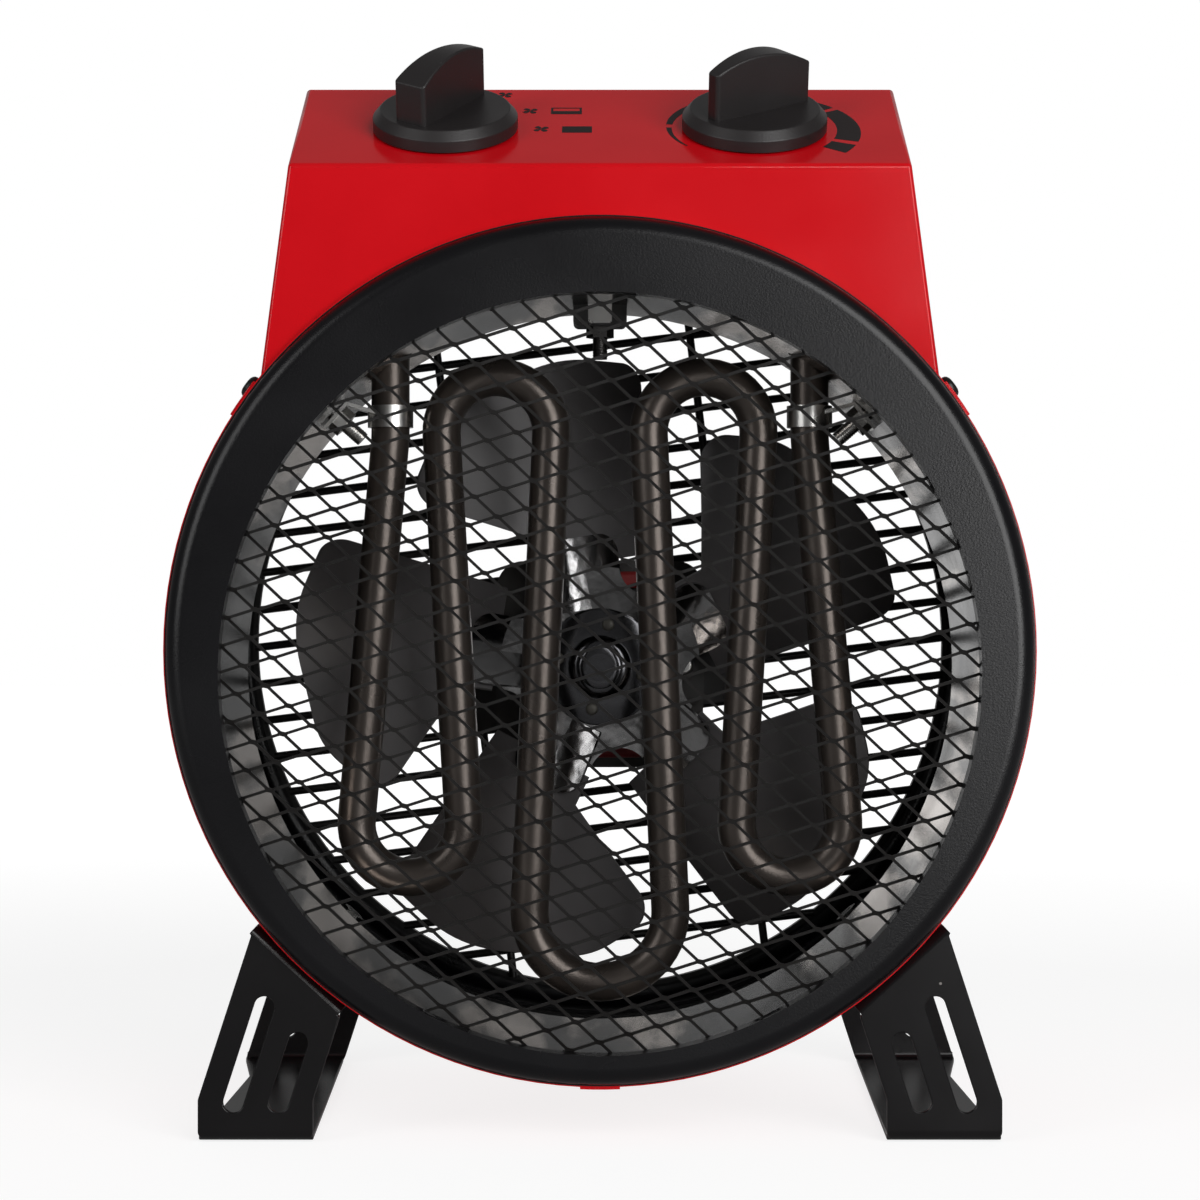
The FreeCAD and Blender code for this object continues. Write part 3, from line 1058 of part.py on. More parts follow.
for side, collar in zip((-1, 1), collars):
    collar.translate(Vector(side * MOTOR_BOLT_X, 0, 0))
motor_plate = motor_plate.fuse(collars).cut(bolt_holes)
motor_plate = motor_plate.cut(rod_along_y(BUSH_HOUSING_RADIUS + MOTOR_PLATE_GAP, FRONT, BACK, 0, DUCT_HEIGHT))
motor_bolts = []
for side in (-1, 1):
    seat = Vector(side * MOTOR_BOLT_X, BRIDGE_FRONT, DUCT_HEIGHT)
    motor_bolts.append(pan_screw(seat, Vector(0, -1, 0), PLATE_BACK + THIN_NUT - BRIDGE_FRONT))
    thin_nut_base = Vector(seat.x, PLATE_BACK, seat.z)
    motor_bolts.append(hex_nut(NUT_RADIUS, THIN_NUT, SCREW_RADIUS, thin_nut_base, Vector(0, 1, 0)))

# Cord inlet: a gland through the rear cover, with its nut inside
gland_axis = Vector(0, 1, 0)
gland_seat = Vector(GLAND_X, HOOD_BACK, GLAND_HEIGHT)
gland_dome_y = HOOD_BACK + GLAND_HEX_LENGTH
dome = Part.makeCone(GLAND_DOME_RADIUS, GLAND_BORE_RADIUS + GLAND_MOUTH_WALL, GLAND_DOME_LENGTH,
                     Vector(GLAND_X, gland_dome_y, GLAND_HEIGHT), gland_axis)
thread = rod_along_y(GLAND_THREAD_RADIUS, HOOD_BACK - GLAND_THREAD_LENGTH, HOOD_BACK, GLAND_X, GLAND_HEIGHT)
cable_gland = hex_prism(GLAND_HEX_RADIUS, GLAND_HEX_LENGTH, gland_seat, gland_axis).fuse([dome, thread])
cable_gland = cable_gland.cut(rod_along_y(GLAND_BORE_RADIUS, FRONT, BACK, GLAND_X, GLAND_HEIGHT))
nut_base = Vector(GLAND_X, HOOD_BACK - SHEET - GLAND_NUT_LENGTH, GLAND_HEIGHT)
gland_nut = hex_nut(GLAND_HEX_RADIUS, GLAND_NUT_LENGTH, GLAND_THREAD_RADIUS, nut_base, gland_axis)

# Terminal block on top of the drum, its base shaped to the drum's wall
block_y = cover_front - BLOCK_LENGTH - NUT_HEIGHT
block_top = DRUM_TOP + BLOCK_HEIGHT
terminal_block = Part.makeBox(BLOCK_WIDTH, BLOCK_LENGTH, 2 * BLOCK_HEIGHT,
                              Vector(-BLOCK_WIDTH / 2, block_y, block_top - 2 * BLOCK_HEIGHT)).cut(drum_core)
groove_pitch = BLOCK_WIDTH / (BLOCK_GROOVES + 1)
groove_floor = block_top - BLOCK_HEIGHT / 2
for groove in range(1, BLOCK_GROOVES + 1):
    groove_corner = Vector(groove_pitch * groove - BLOCK_WIDTH / 2 - SHEET, block_y, groove_floor)
    groove_space = Part.makeBox(2 * SHEET, BLOCK_LENGTH, BLOCK_HEIGHT / 2, groove_corner)
    terminal_block = terminal_block.cut(groove_space)

nodes = {
    "drum_shell": drum_shell, "front_ring": front_ring, "mesh_guard": mesh_guard, "inner_liner": inner_liner,
    "liner_spacers": liner_spacers, "rear_ring": rear_ring, "rear_guard": rear_guard,
    "left_foot": left_foot, "right_foot": right_foot, "foot_screws": foot_screws, "foot_nuts": foot_nuts,
    "control_hood": control_hood, "hood_back": hood_back, "hood_screws": hood_screws,
    "cover_screws": cover_screws,
    "cable_gland": cable_gland, "gland_nut": gland_nut, "terminal_block": terminal_block,
    "heating_element": heating_element, "element_bushes": element_bushes, "element_pins": element_pins,
    "element_clips": element_clips, "clip_screws": clip_screws, "clip_nuts": clip_nuts,
    "thermal_cutout": thermal_cutout, "cutout_screw": cutout_screw,
    "selector_switch": selector_switch, "thermostat_body": thermostat_body, "switch_screws": switch_screws,
    "selector_knob": selector_knob, "selector_spindle": selector_spindle,
    "thermostat_knob": thermostat_knob, "thermostat_spindle": thermostat_spindle,
    "motor_stator": motor_stator, "motor_coil": motor_coil, "motor_bridges": motor_bridges,
    "motor_bushes": motor_bushes, "motor_bolts": motor_bolts, "motor_plate": motor_plate,
    "motor_shaft": motor_shaft, "motor_rotor": motor_rotor,
    "fan_boss": fan_boss, "fan_spider": fan_spider, "fan_blades": fan_blades,
}

os.makedirs("parts", exist_ok=True)
for name, shape in nodes.items():
    if isinstance(shape, list):
        shape = Part.makeCompound(shape)
    shape.exportStep("parts/" + name + ".step")
    state = "valid" if shape.isValid() else "not valid"
    print(name, len(shape.Solids), "solids", round(shape.Volume, 1), "mm3", state)
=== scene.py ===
import bmesh
import bpy
import math
from mathutils import Matrix, Vector


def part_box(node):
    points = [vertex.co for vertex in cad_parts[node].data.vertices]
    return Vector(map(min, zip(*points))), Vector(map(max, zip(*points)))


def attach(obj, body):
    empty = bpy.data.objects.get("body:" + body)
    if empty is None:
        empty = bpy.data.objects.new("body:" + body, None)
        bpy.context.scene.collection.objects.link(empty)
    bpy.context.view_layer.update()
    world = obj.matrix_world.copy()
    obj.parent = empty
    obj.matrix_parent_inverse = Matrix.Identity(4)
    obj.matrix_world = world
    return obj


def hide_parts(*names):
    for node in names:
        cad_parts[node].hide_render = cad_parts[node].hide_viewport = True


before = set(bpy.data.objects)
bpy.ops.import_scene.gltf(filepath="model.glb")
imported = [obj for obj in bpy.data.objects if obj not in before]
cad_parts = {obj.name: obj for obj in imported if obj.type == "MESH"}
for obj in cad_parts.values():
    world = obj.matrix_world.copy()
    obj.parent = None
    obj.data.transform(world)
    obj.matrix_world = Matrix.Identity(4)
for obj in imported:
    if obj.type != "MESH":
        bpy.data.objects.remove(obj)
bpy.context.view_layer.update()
scene = bpy.context.scene

# Studio: a pale floor under a white background, two soft boxes beside the camera, a sheet of
# light overhead, a wall of light behind, and low cards that show in the liner and the ring.
# The camera stands level, a little above the drum's axis, as far back as in the picture.
CAMERA_PLACE = Vector((0.0, -0.836, 0.1433))
CAMERA_LENS_MM = 87.2
SENSOR_MM = 36.0
WHITE = (1.0, 1.0, 1.0, 1.0)
AIR_GLOW = 0.14
FLOOR_HALF = 4.0
FLOOR_DROP = 0.0004
FLOOR_WHITE = (0.32, 0.32, 0.32, 1.0)
FLOOR_ROUGHNESS = 0.8
FLOOR_GLOW = 0.12
FLOOR_SEEN_NEAR = 0.82
FLOOR_SEEN_FAR = 1.0
FADE_START = 0.35
FADE_END = 1.3
scene.view_settings.view_transform = "Standard"


def linked_object(name, data):
    """New object, put into the scene."""
    linked = bpy.data.objects.new(name, data)
    scene.collection.objects.link(linked)
    return linked


camera_data = bpy.data.cameras.new("camera")
camera_data.sensor_width = SENSOR_MM
camera_data.lens = CAMERA_LENS_MM
camera = linked_object("camera", camera_data)
camera.location = CAMERA_PLACE
camera.rotation_euler = (math.radians(90), 0, 0)
scene.camera = camera


def set_inputs(node, values):
    """Set some of a node's inputs by name."""
    for label, value in values.items():
        node.inputs[label].default_value = value


studio_air = bpy.data.worlds.new("studio_air")
studio_air.use_nodes = True
scene.world = studio_air
air_nodes = studio_air.node_tree.nodes
air_links = studio_air.node_tree.links
set_inputs(air_nodes["Background"], {"Color": WHITE, "Strength": AIR_GLOW})
seen_air = air_nodes.new("ShaderNodeBackground")
set_inputs(seen_air, {"Color": WHITE})
air_ray = air_nodes.new("ShaderNodeLightPath")
air_mix = air_nodes.new("ShaderNodeMixShader")
air_links.new(air_ray.outputs["Is Camera Ray"], air_mix.inputs["Fac"])
air_links.new(air_nodes["Background"].outputs["Background"], air_mix.inputs[1])
air_links.new(seen_air.outputs["Background"], air_mix.inputs[2])
air_links.new(air_mix.outputs["Shader"], air_nodes["World Output"].inputs["Surface"])


def soft_box(name, place, target, width, height, watts):
    """Rectangular light at a place, facing a target and hidden from the camera itself."""
    light = bpy.data.lights.new(name, "AREA")
    light.shape = "RECTANGLE"
    light.size = width
    light.size_y = height
    light.energy = watts
    box = linked_object(name, light)
    box.location = place
    box.rotation_euler = (Vector(target) - Vector(place)).to_track_quat("-Z", "Y").to_euler()
    box.visible_camera = False


soft_box("left_box", place=(-1.5, -1.4, 0.8), target=(0.0, 0.0, 0.15),
         width=0.9, height=1.2, watts=10.5)
soft_box("right_box", place=(0.85, -1.65, 0.65), target=(0.0, 0.0, 0.15),
         width=1.1, height=1.3, watts=26.5)
soft_box("top_sheet", place=(0.0, 1.1, 2.3), target=(0.0, 0.0, 0.2),
         width=2.4, height=1.6, watts=0.45)
soft_box("back_wall", place=(0.0, 2.0, 1.25), target=(0.0, 0.0, 0.3),
         width=3.4, height=1.4, watts=4.0)
soft_box("liner_card", place=(-0.15, 2.0, 0.10), target=(0.0, 0.0, 0.14),
         width=0.26, height=0.22, watts=0.12)
soft_box("ring_card", place=(0.42, -1.6, 0.12), target=(0.0, 0.0, 0.12),
         width=0.40, height=0.22, watts=0.17)
soft_box("band_card", place=(0.95, -1.35, 0.12), target=(0.0, 0.0, 0.12),
         width=0.60, height=0.22, watts=1.2)
soft_box("floor_card", place=(0.35, -0.8, 0.01), target=(0.3, -0.6, 0.5),
         width=0.50, height=0.70, watts=0.5)

floor_mesh = bpy.data.meshes.new("floor")
floor_corners = [(-FLOOR_HALF, -FLOOR_HALF, 0), (FLOOR_HALF, -FLOOR_HALF, 0),
                 (FLOOR_HALF, FLOOR_HALF, 0), (-FLOOR_HALF, FLOOR_HALF, 0)]
floor_mesh.from_pydata(floor_corners, [], [(0, 1, 2, 3)])
floor = linked_object("floor", floor_mesh)
floor.location = (0, 0, -FLOOR_DROP)
floor_paint = bpy.data.materials.new("floor_paint")
floor_paint.use_nodes = True
floor_nodes = floor_paint.node_tree.nodes
floor_links = floor_paint.node_tree.links
floor_shader = floor_nodes["Principled BSDF"]
set_inputs(floor_shader, {"Base Color": FLOOR_WHITE, "Roughness": FLOOR_ROUGHNESS,
                          "Specular IOR Level": 0.0, "Emission Color": WHITE})
floor_place = floor_nodes.new("ShaderNodeTexCoord")
from_heater = floor_nodes.new("ShaderNodeVectorMath")
from_heater.operation = "LENGTH"
floor_links.new(floor_place.outputs["Object"], from_heater.inputs[0])
floor_fade = floor_nodes.new("ShaderNodeMapRange")
set_inputs(floor_fade, {"From Min": FADE_START, "From Max": FADE_END,
                        "To Min": FLOOR_SEEN_NEAR, "To Max": FLOOR_SEEN_FAR})
floor_links.new(from_heater.outputs["Value"], floor_fade.inputs["Value"])
floor_ray = floor_nodes.new("ShaderNodeLightPath")
floor_glow = floor_nodes.new("ShaderNodeMapRange")
floor_glow.inputs["To Min"].default_value = FLOOR_GLOW
floor_links.new(floor_ray.outputs["Is Camera Ray"], floor_glow.inputs["Value"])
floor_links.new(floor_fade.outputs["Result"], floor_glow.inputs["To Max"])
floor_links.new(floor_glow.outputs["Result"], floor_shader.inputs["Emission Strength"])
floor.data.materials.append(floor_paint)

# Drum shell: thin mild steel rolled into a tube with a lap strip along the bottom, in red
# gloss enamel with a faint orange-peel surface outside, and a near-black painted shade inside.
DRUM_AXIS = Vector((0.0, 0.0, 0.130))
DRUM_RADIUS = 0.115
DRUM_SHEET = 0.0006
INSIDE_SHADE_GREY = (0.014, 0.013, 0.013, 1.0)
DUST_GREY = (0.20, 0.19, 0.18, 1.0)
GRAIN_DETAIL = 3.0
GRAIN_RELIEF = 0.0004
PATCH_SCALE = 28.0
PATCH_DETAIL = 4.0
PATCH_LOW = 0.3
PATCH_HIGH = 0.7


def group_with_sockets(name, inputs, outputs):
    """Empty shader node group with named float inputs and outputs (name, kind)."""
    group = bpy.data.node_groups.new(name, "ShaderNodeTree")
    for label in inputs:
        group.interface.new_socket(label, in_out="INPUT", socket_type="NodeSocketFloat")
    for label, kind in outputs:
        group.interface.new_socket(label, in_out="OUTPUT", socket_type=kind)
    return group


def grain_group():
    """Node group with a noise value, a roughness between two limits and a fine bumped normal."""
    group = group_with_sockets(
        "surface_grain", ("Scale", "Smoothest", "Roughest", "Bump"),
        (("Value", "NodeSocketFloat"), ("Roughness", "NodeSocketFloat"), ("Normal", "NodeSocketVector")))
    nodes = group.nodes
    links = group.links
    given = nodes.new("NodeGroupInput")
    result = nodes.new("NodeGroupOutput")
    place = nodes.new("ShaderNodeTexCoord")
    fine = nodes.new("ShaderNodeTexNoise")
    fine.inputs["Detail"].default_value = GRAIN_DETAIL
    links.new(place.outputs["Object"], fine.inputs["Vector"])
    links.new(given.outputs["Scale"], fine.inputs["Scale"])
    broad = nodes.new("ShaderNodeTexNoise")
    set_inputs(broad, {"Scale": PATCH_SCALE, "Detail": PATCH_DETAIL})
    links.new(place.outputs["Object"], broad.inputs["Vector"])
    spread = nodes.new("ShaderNodeMapRange")
    set_inputs(spread, {"From Min": PATCH_LOW, "From Max": PATCH_HIGH})
    links.new(broad.outputs["Fac"], spread.inputs["Value"])
    links.new(given.outputs["Smoothest"], spread.inputs["To Min"])
    links.new(given.outputs["Roughest"], spread.inputs["To Max"])
    bump = nodes.new("ShaderNodeBump")
    bump.inputs["Distance"].default_value = GRAIN_RELIEF
    links.new(given.outputs["Bump"], bump.inputs["Strength"])
    links.new(fine.outputs["Fac"], bump.inputs["Height"])
    links.new(broad.outputs["Fac"], result.inputs["Value"])
    links.new(spread.outputs["Result"], result.inputs["Roughness"])
    links.new(bump.outputs["Normal"], result.inputs["Normal"])
    return group


def dust_group():
    """Node group with a mask of sparse round specks, a random share of one in each cell."""
    group = group_with_sockets(
        "dust_specks", ("Scale", "Size", "Rarity"), (("Mask", "NodeSocketFloat"),))
    nodes = group.nodes
    links = group.links
    given = nodes.new("NodeGroupInput")
    result = nodes.new("NodeGroupOutput")
    place = nodes.new("ShaderNodeTexCoord")
    cells = nodes.new("ShaderNodeTexVoronoi")
    links.new(place.outputs["Object"], cells.inputs["Vector"])
    links.new(given.outputs["Scale"], cells.inputs["Scale"])
    chance = nodes.new("ShaderNodeSeparateColor")
    links.new(cells.outputs["Color"], chance.inputs["Color"])
    near = nodes.new("ShaderNodeMath")
    near.operation = "LESS_THAN"
    links.new(cells.outputs["Distance"], near.inputs[0])
    links.new(given.outputs["Size"], near.inputs[1])
    chosen = nodes.new("ShaderNodeMath")
    chosen.operation = "GREATER_THAN"
    links.new(chance.outputs["Red"], chosen.inputs[0])
    links.new(given.outputs["Rarity"], chosen.inputs[1])
    both = nodes.new("ShaderNodeMath")
    both.operation = "MULTIPLY"
    links.new(near.outputs["Value"], both.inputs[0])
    links.new(chosen.outputs["Value"], both.inputs[1])
    links.new(both.outputs["Value"], result.inputs["Mask"])
    return group


surface_grain = grain_group()
dust_specks = dust_group()


def grained_material(name, deep, pale, metallic, scale, roughness, bump, specular=0.5):
    """Material whose colour drifts between two shades, with the shared grain on its surface."""
    material = bpy.data.materials.new(name)
    material.use_nodes = True
    nodes = material.node_tree.nodes
    links = material.node_tree.links
    shader = nodes["Principled BSDF"]
    set_inputs(shader, {"Metallic": metallic, "Specular IOR Level": specular})
    grain = nodes.new("ShaderNodeGroup")
    grain.node_tree = surface_grain
    smoothest, roughest = roughness
    set_inputs(grain, {"Scale": scale, "Smoothest": smoothest, "Roughest": roughest, "Bump": bump})
    shades = nodes.new("ShaderNodeValToRGB")
    shades.name = "shades"
    shades.color_ramp.elements[0].position = PATCH_LOW
    shades.color_ramp.elements[0].color = (*deep, 1.0)
    shades.color_ramp.elements[1].position = PATCH_HIGH
    shades.color_ramp.elements[1].color = (*pale, 1.0)
    links.new(grain.outputs["Value"], shades.inputs["Fac"])
    links.new(shades.outputs["Color"], shader.inputs["Base Color"])
    links.new(grain.outputs["Roughness"], shader.inputs["Roughness"])
    links.new(grain.outputs["Normal"], shader.inputs["Normal"])
    return material


def add_dust(material, scale, size, rarity):
    """Lay pale specks over a material's colour."""
    nodes = material.node_tree.nodes
    links = material.node_tree.links
    specks = nodes.new("ShaderNodeGroup")
    specks.node_tree = dust_specks
    set_inputs(specks, {"Scale": scale, "Size": size, "Rarity": rarity})
    dusted = nodes.new("ShaderNodeMix")
    dusted.data_type = "RGBA"
    dusted.inputs["B"].default_value = DUST_GREY
    links.new(specks.outputs["Mask"], dusted.inputs["Factor"])
    links.new(nodes["shades"].outputs["Color"], dusted.inputs["A"])
    links.new(dusted.outputs["Result"], nodes["Principled BSDF"].inputs["Base Color"])


def dress(material, *node_names):
    """Give CAD nodes a material in place of the frame's plain one."""
    for node_name in node_names:
        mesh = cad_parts[node_name].data
        mesh.materials.clear()
        mesh.materials.append(material)


red_enamel = grained_material(
    "red_enamel", deep=(0.55, 0.0024, 0.0066), pale=(0.60, 0.0032, 0.0082), metallic=0.0,
    scale=700.0, roughness=(0.12, 0.18), bump=0.02, specular=0.3)
drum_enamel = red_enamel.copy()
drum_enamel.name = "drum_enamel"
drum_nodes = drum_enamel.node_tree.nodes
drum_links = drum_enamel.node_tree.links
drum_place = drum_nodes.new("ShaderNodeTexCoord")
from_axis = drum_nodes.new("ShaderNodeVectorMath")
from_axis.operation = "MULTIPLY_ADD"
from_axis.inputs[1].default_value = (1.0, 0.0, 1.0)
from_axis.inputs[2].default_value = -DRUM_AXIS
drum_links.new(drum_place.outputs["Object"], from_axis.inputs[0])
drum_reach = drum_nodes.new("ShaderNodeVectorMath")
drum_reach.operation = "LENGTH"
drum_links.new(from_axis.outputs["Vector"], drum_reach.inputs[0])
# Painted shade: faces inside the shell's radius get a near-black colour that stands for the shade inside
# the drum.
inside_shade_mask = drum_nodes.new("ShaderNodeMath")
inside_shade_mask.operation = "LESS_THAN"
inside_shade_mask.inputs[1].default_value = DRUM_RADIUS - DRUM_SHEET / 2
drum_links.new(drum_reach.outputs["Value"], inside_shade_mask.inputs[0])
two_sides = drum_nodes.new("ShaderNodeMix")
two_sides.data_type = "RGBA"
two_sides.inputs["B"].default_value = INSIDE_SHADE_GREY
drum_links.new(inside_shade_mask.outputs["Value"], two_sides.inputs["Factor"])
drum_links.new(drum_nodes["shades"].outputs["Color"], two_sides.inputs["A"])
drum_links.new(two_sides.outputs["Result"], drum_nodes["Principled BSDF"].inputs["Base Color"])
dress(drum_enamel, "drum_shell")

# Feet: each one cut from steel sheet and folded into a strap with two slotted plates and a
# base, in gloss black paint. Flanges at the top are screwed to the drum.
CUT_EDGE = 0.0003
SHARP_EDGE = math.radians(38)
FLAT_ANGLE = math.radians(0.5)
MERGE_DISTANCE = 2e-6
FOOT_EASE_STEPS = 2


def new_piece(name, mesh, body, slot, *replaced):
    """Put a finished mesh into the scene on a body, standing for the nodes it replaces."""
    piece = linked_object(name, mesh)
    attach(piece, body)
    if replaced:
        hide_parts(*replaced)
    return piece


def merged_copy(node_name):
    """CAD node's mesh with its loose triangles joined and its flat faces made whole."""
    merged = bmesh.new()
    merged.from_mesh(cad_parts[node_name].data)
    bmesh.ops.remove_doubles(merged, verts=merged.verts, dist=MERGE_DISTANCE)
    bmesh.ops.dissolve_limit(merged, angle_limit=FLAT_ANGLE, verts=merged.verts, edges=merged.edges)
    return merged


def evaluated_mesh(carrier):
    """New mesh of an object with its modifiers applied."""
    depsgraph = bpy.context.evaluated_depsgraph_get()
    return bpy.data.meshes.new_from_object(carrier.evaluated_get(depsgraph))


def eased_copy(node_name, width, segments, material, body, slot, fold_area=0.0, cut_share=1.0):
    """Copy of a CAD node with its sharp edges rounded, and a sheet's narrow cut edges rounded less.

    The node's own faces stay flat. The rounded strips get the second material slot while they are
    made, which tells them apart, and only they are shaded smooth."""
    merged = merged_copy(node_name)
    weight = merged.edges.layers.float.new("bevel_weight_edge")
    for edge in merged.edges:
        edge.smooth = True
        if len(edge.link_faces) == 2 and edge.calc_face_angle() > SHARP_EDGE:
            narrowest = min(face.calc_area() for face in edge.link_faces)
            edge[weight] = cut_share if narrowest < fold_area else 1.0
    mesh = bpy.data.meshes.new(node_name + "_rough")
    merged.to_mesh(mesh)
    merged.free()
    mesh.materials.clear()
    mesh.materials.append(material)
    mesh.materials.append(material)
    rough = linked_object("rough", mesh)
    easing = rough.modifiers.new("easing", "BEVEL")
    easing.width = width
    easing.segments = segments
    easing.limit_method = "WEIGHT"
    easing.use_clamp_overlap = False
    easing.material = 1
    eased = evaluated_mesh(rough)
    bpy.data.objects.remove(rough)
    for face in eased.polygons:
        face.use_smooth = face.material_index == 1
        face.material_index = 0
    eased.materials.pop()
    return new_piece(node_name + "_eased", eased, body, slot, node_name)


foot_gloss = grained_material(
    "foot_gloss", deep=(0.0046, 0.0042, 0.0046), pale=(0.0070, 0.0064, 0.0068), metallic=0.0,
    scale=900.0, roughness=(0.16, 0.26), bump=0.03, specular=0.3)
add_dust(foot_gloss, scale=120.0, size=0.045, rarity=0.72)
for foot_node in ("left_foot", "right_foot"):
    eased_copy(foot_node, CUT_EDGE, FOOT_EASE_STEPS, foot_gloss, "casing", "black_gloss_paint")

# Screws that show outside: black pan-head screws with a cross recess in steel, four in the
# feet's flanges, four in the hood's tabs and two through the sides of its rear cover.
HEAD_RADIUS = 0.0032
HEAD_HEIGHT = 0.0024
HEAD_FLAT = 0.0016
HEAD_CURVE = ((1.0, 0.45), (0.95, 0.68), (0.82, 0.87), (0.66, 0.97))
TIP_SHARE = 0.8
TIP_TAPER = 0.4
SHANK_RADIUS = 0.002
RECESS_REACH = 0.0017
RECESS_HALF = 0.00042
RECESS_DEPTH = 0.0013
RECESS_TAPER = 0.55
TURNING_STEPS = 32
screw_black = grained_material(
    "screw_black", deep=(0.008, 0.008, 0.008), pale=(0.016, 0.016, 0.016), metallic=0.3,
    scale=1600.0, roughness=(0.30, 0.48), bump=0.1)


def loose_pieces(node_name):
    """Vertex places of each separate solid in a CAD node."""
    merged = merged_copy(node_name)
    seen = set()
    pieces = []
    for first in merged.verts:
        if first in seen:
            continue
        seen.add(first)
        reached = [first]
        for vert in reached:
            for edge in vert.link_edges:
                other = edge.other_vert(vert)
                if other not in seen:
                    seen.add(other)
                    reached.append(other)
        pieces.append([vert.co.copy() for vert in reached])
    merged.free()
    return pieces


def middle(places):
    """Mean of some places."""
    return sum(places, Vector()) / len(places)


def turned_shape(profile):
    """Closed shape turned about Z, from (radius, height) places that begin and end on the axis."""
    shape = bmesh.new()
    rings = []
    for radius, height in profile:
        count = TURNING_STEPS if radius > 0 else 1
        turns = [2 * math.pi * k / count for k in range(count)]
        rings.append([shape.verts.new((radius * math.cos(t), radius * math.sin(t), height)) for t in turns])
    for low, high in zip(rings, rings[1:]):
        for k in range(TURNING_STEPS):
            corners = [low[k % len(low)], low[(k + 1) % len(low)],
                       high[(k + 1) % len(high)], high[k % len(high)]]
            shape.faces.new(list(dict.fromkeys(corners)))
    bmesh.ops.recalc_face_normals(shape, faces=shape.faces)
    return shape


def plain_mesh(shape, name):
    """Mesh made from a finished bmesh, which is freed."""
    mesh = bpy.data.meshes.new(name)
    shape.to_mesh(mesh)
    shape.free()
    return mesh


def cross_cutter():
    """Tapered cross that cuts the recess, from above the head's top down to the recess's floor."""
    ends = [(RECESS_REACH, -RECESS_HALF), (RECESS_REACH, RECESS_HALF), (RECESS_HALF, RECESS_HALF)]
    turns = [Matrix.Rotation(quarter * math.pi / 2, 2) for quarter in range(4)]
    outline = [turn @ Vector(end) for turn in turns for end in ends]
    cutter = bmesh.new()
    top = [cutter.verts.new((place.x, place.y, HEAD_HEIGHT + CUT_EDGE)) for place in outline]
    low = [cutter.verts.new((place.x * RECESS_TAPER, place.y * RECESS_TAPER, HEAD_HEIGHT - RECESS_DEPTH))
           for place in outline]
    cutter.faces.new(top)
    cutter.faces.new(low[::-1])
    for k in range(len(outline)):
        cutter.faces.new((low[k - 1], low[k], top[k], top[k - 1]))
    bmesh.ops.recalc_face_normals(cutter, faces=cutter.faces)
    return plain_mesh(cutter, "cross_cutter")


def recessed_screw(shank):
    """Pan-head screw of a shank length on the Z axis, its head above the origin."""
    profile = [(0, -shank), (SHANK_RADIUS * TIP_SHARE, -shank),
               (SHANK_RADIUS, -shank + SHANK_RADIUS * TIP_TAPER), (SHANK_RADIUS, 0), (HEAD_RADIUS, 0)]
    profile += [(HEAD_RADIUS * across, HEAD_HEIGHT * up) for across, up in HEAD_CURVE]
    profile += [(HEAD_FLAT, HEAD_HEIGHT), (0, HEAD_HEIGHT)]
    screw = linked_object("screw", plain_mesh(turned_shape(profile), "screw"))
    cutter = linked_object("cutter", cross_cutter())
    recess = screw.modifiers.new("recess", "BOOLEAN")
    recess.object = cutter
    recess.solver = "EXACT"
    mesh = evaluated_mesh(screw)
    mesh.shade_smooth()
    mesh.set_sharp_from_angle(angle=SHARP_EDGE)
    bpy.data.objects.remove(cutter)
    bpy.data.objects.remove(screw)
    return linked_object("screw", mesh)


def geometry_tree(name, inputs):
    """Empty Geometry Nodes tree with inputs (name, kind) and one geometry output."""
    tree = bpy.data.node_groups.new(name, "GeometryNodeTree")
    for label, kind in inputs:
        tree.interface.new_socket(label, in_out="INPUT", socket_type=kind)
    tree.interface.new_socket("Geometry", in_out="OUTPUT", socket_type="NodeSocketGeometry")
    return tree


def coat_and_output(tree, given, geometry):
    """Give a tree's geometry its Coat input as material and send it to the output."""
    coated = tree.nodes.new("GeometryNodeSetMaterial")
    result = tree.nodes.new("NodeGroupOutput")
    tree.links.new(geometry, coated.inputs["Geometry"])
    tree.links.new(given.outputs["Coat"], coated.inputs["Material"])
    tree.links.new(coated.outputs["Geometry"], result.inputs["Geometry"])


def placing_tree():
    """Geometry Nodes tree that sets a piece on every point, with its Z along the point's direction."""
    tree = geometry_tree("set_on_places", (
        ("Geometry", "NodeSocketGeometry"), ("Piece", "NodeSocketObject"), ("Coat", "NodeSocketMaterial")))
    nodes = tree.nodes
    links = tree.links
    given = nodes.new("NodeGroupInput")
    piece = nodes.new("GeometryNodeObjectInfo")
    links.new(given.outputs["Piece"], piece.inputs["Object"])
    outward = nodes.new("GeometryNodeInputNamedAttribute")
    outward.data_type = "FLOAT_VECTOR"
    outward.inputs["Name"].default_value = "outward"
    turn = nodes.new("FunctionNodeAlignRotationToVector")
    turn.axis = "Z"
    links.new(outward.outputs["Attribute"], turn.inputs["Vector"])
    copies = nodes.new("GeometryNodeInstanceOnPoints")
    links.new(given.outputs["Geometry"], copies.inputs["Points"])
    links.new(piece.outputs["Geometry"], copies.inputs["Instance"])
    links.new(turn.outputs["Rotation"], copies.inputs["Rotation"])
    real = nodes.new("GeometryNodeRealizeInstances")
    links.new(copies.outputs["Instances"], real.inputs["Geometry"])
    coat_and_output(tree, given, real.outputs["Geometry"])
    return tree


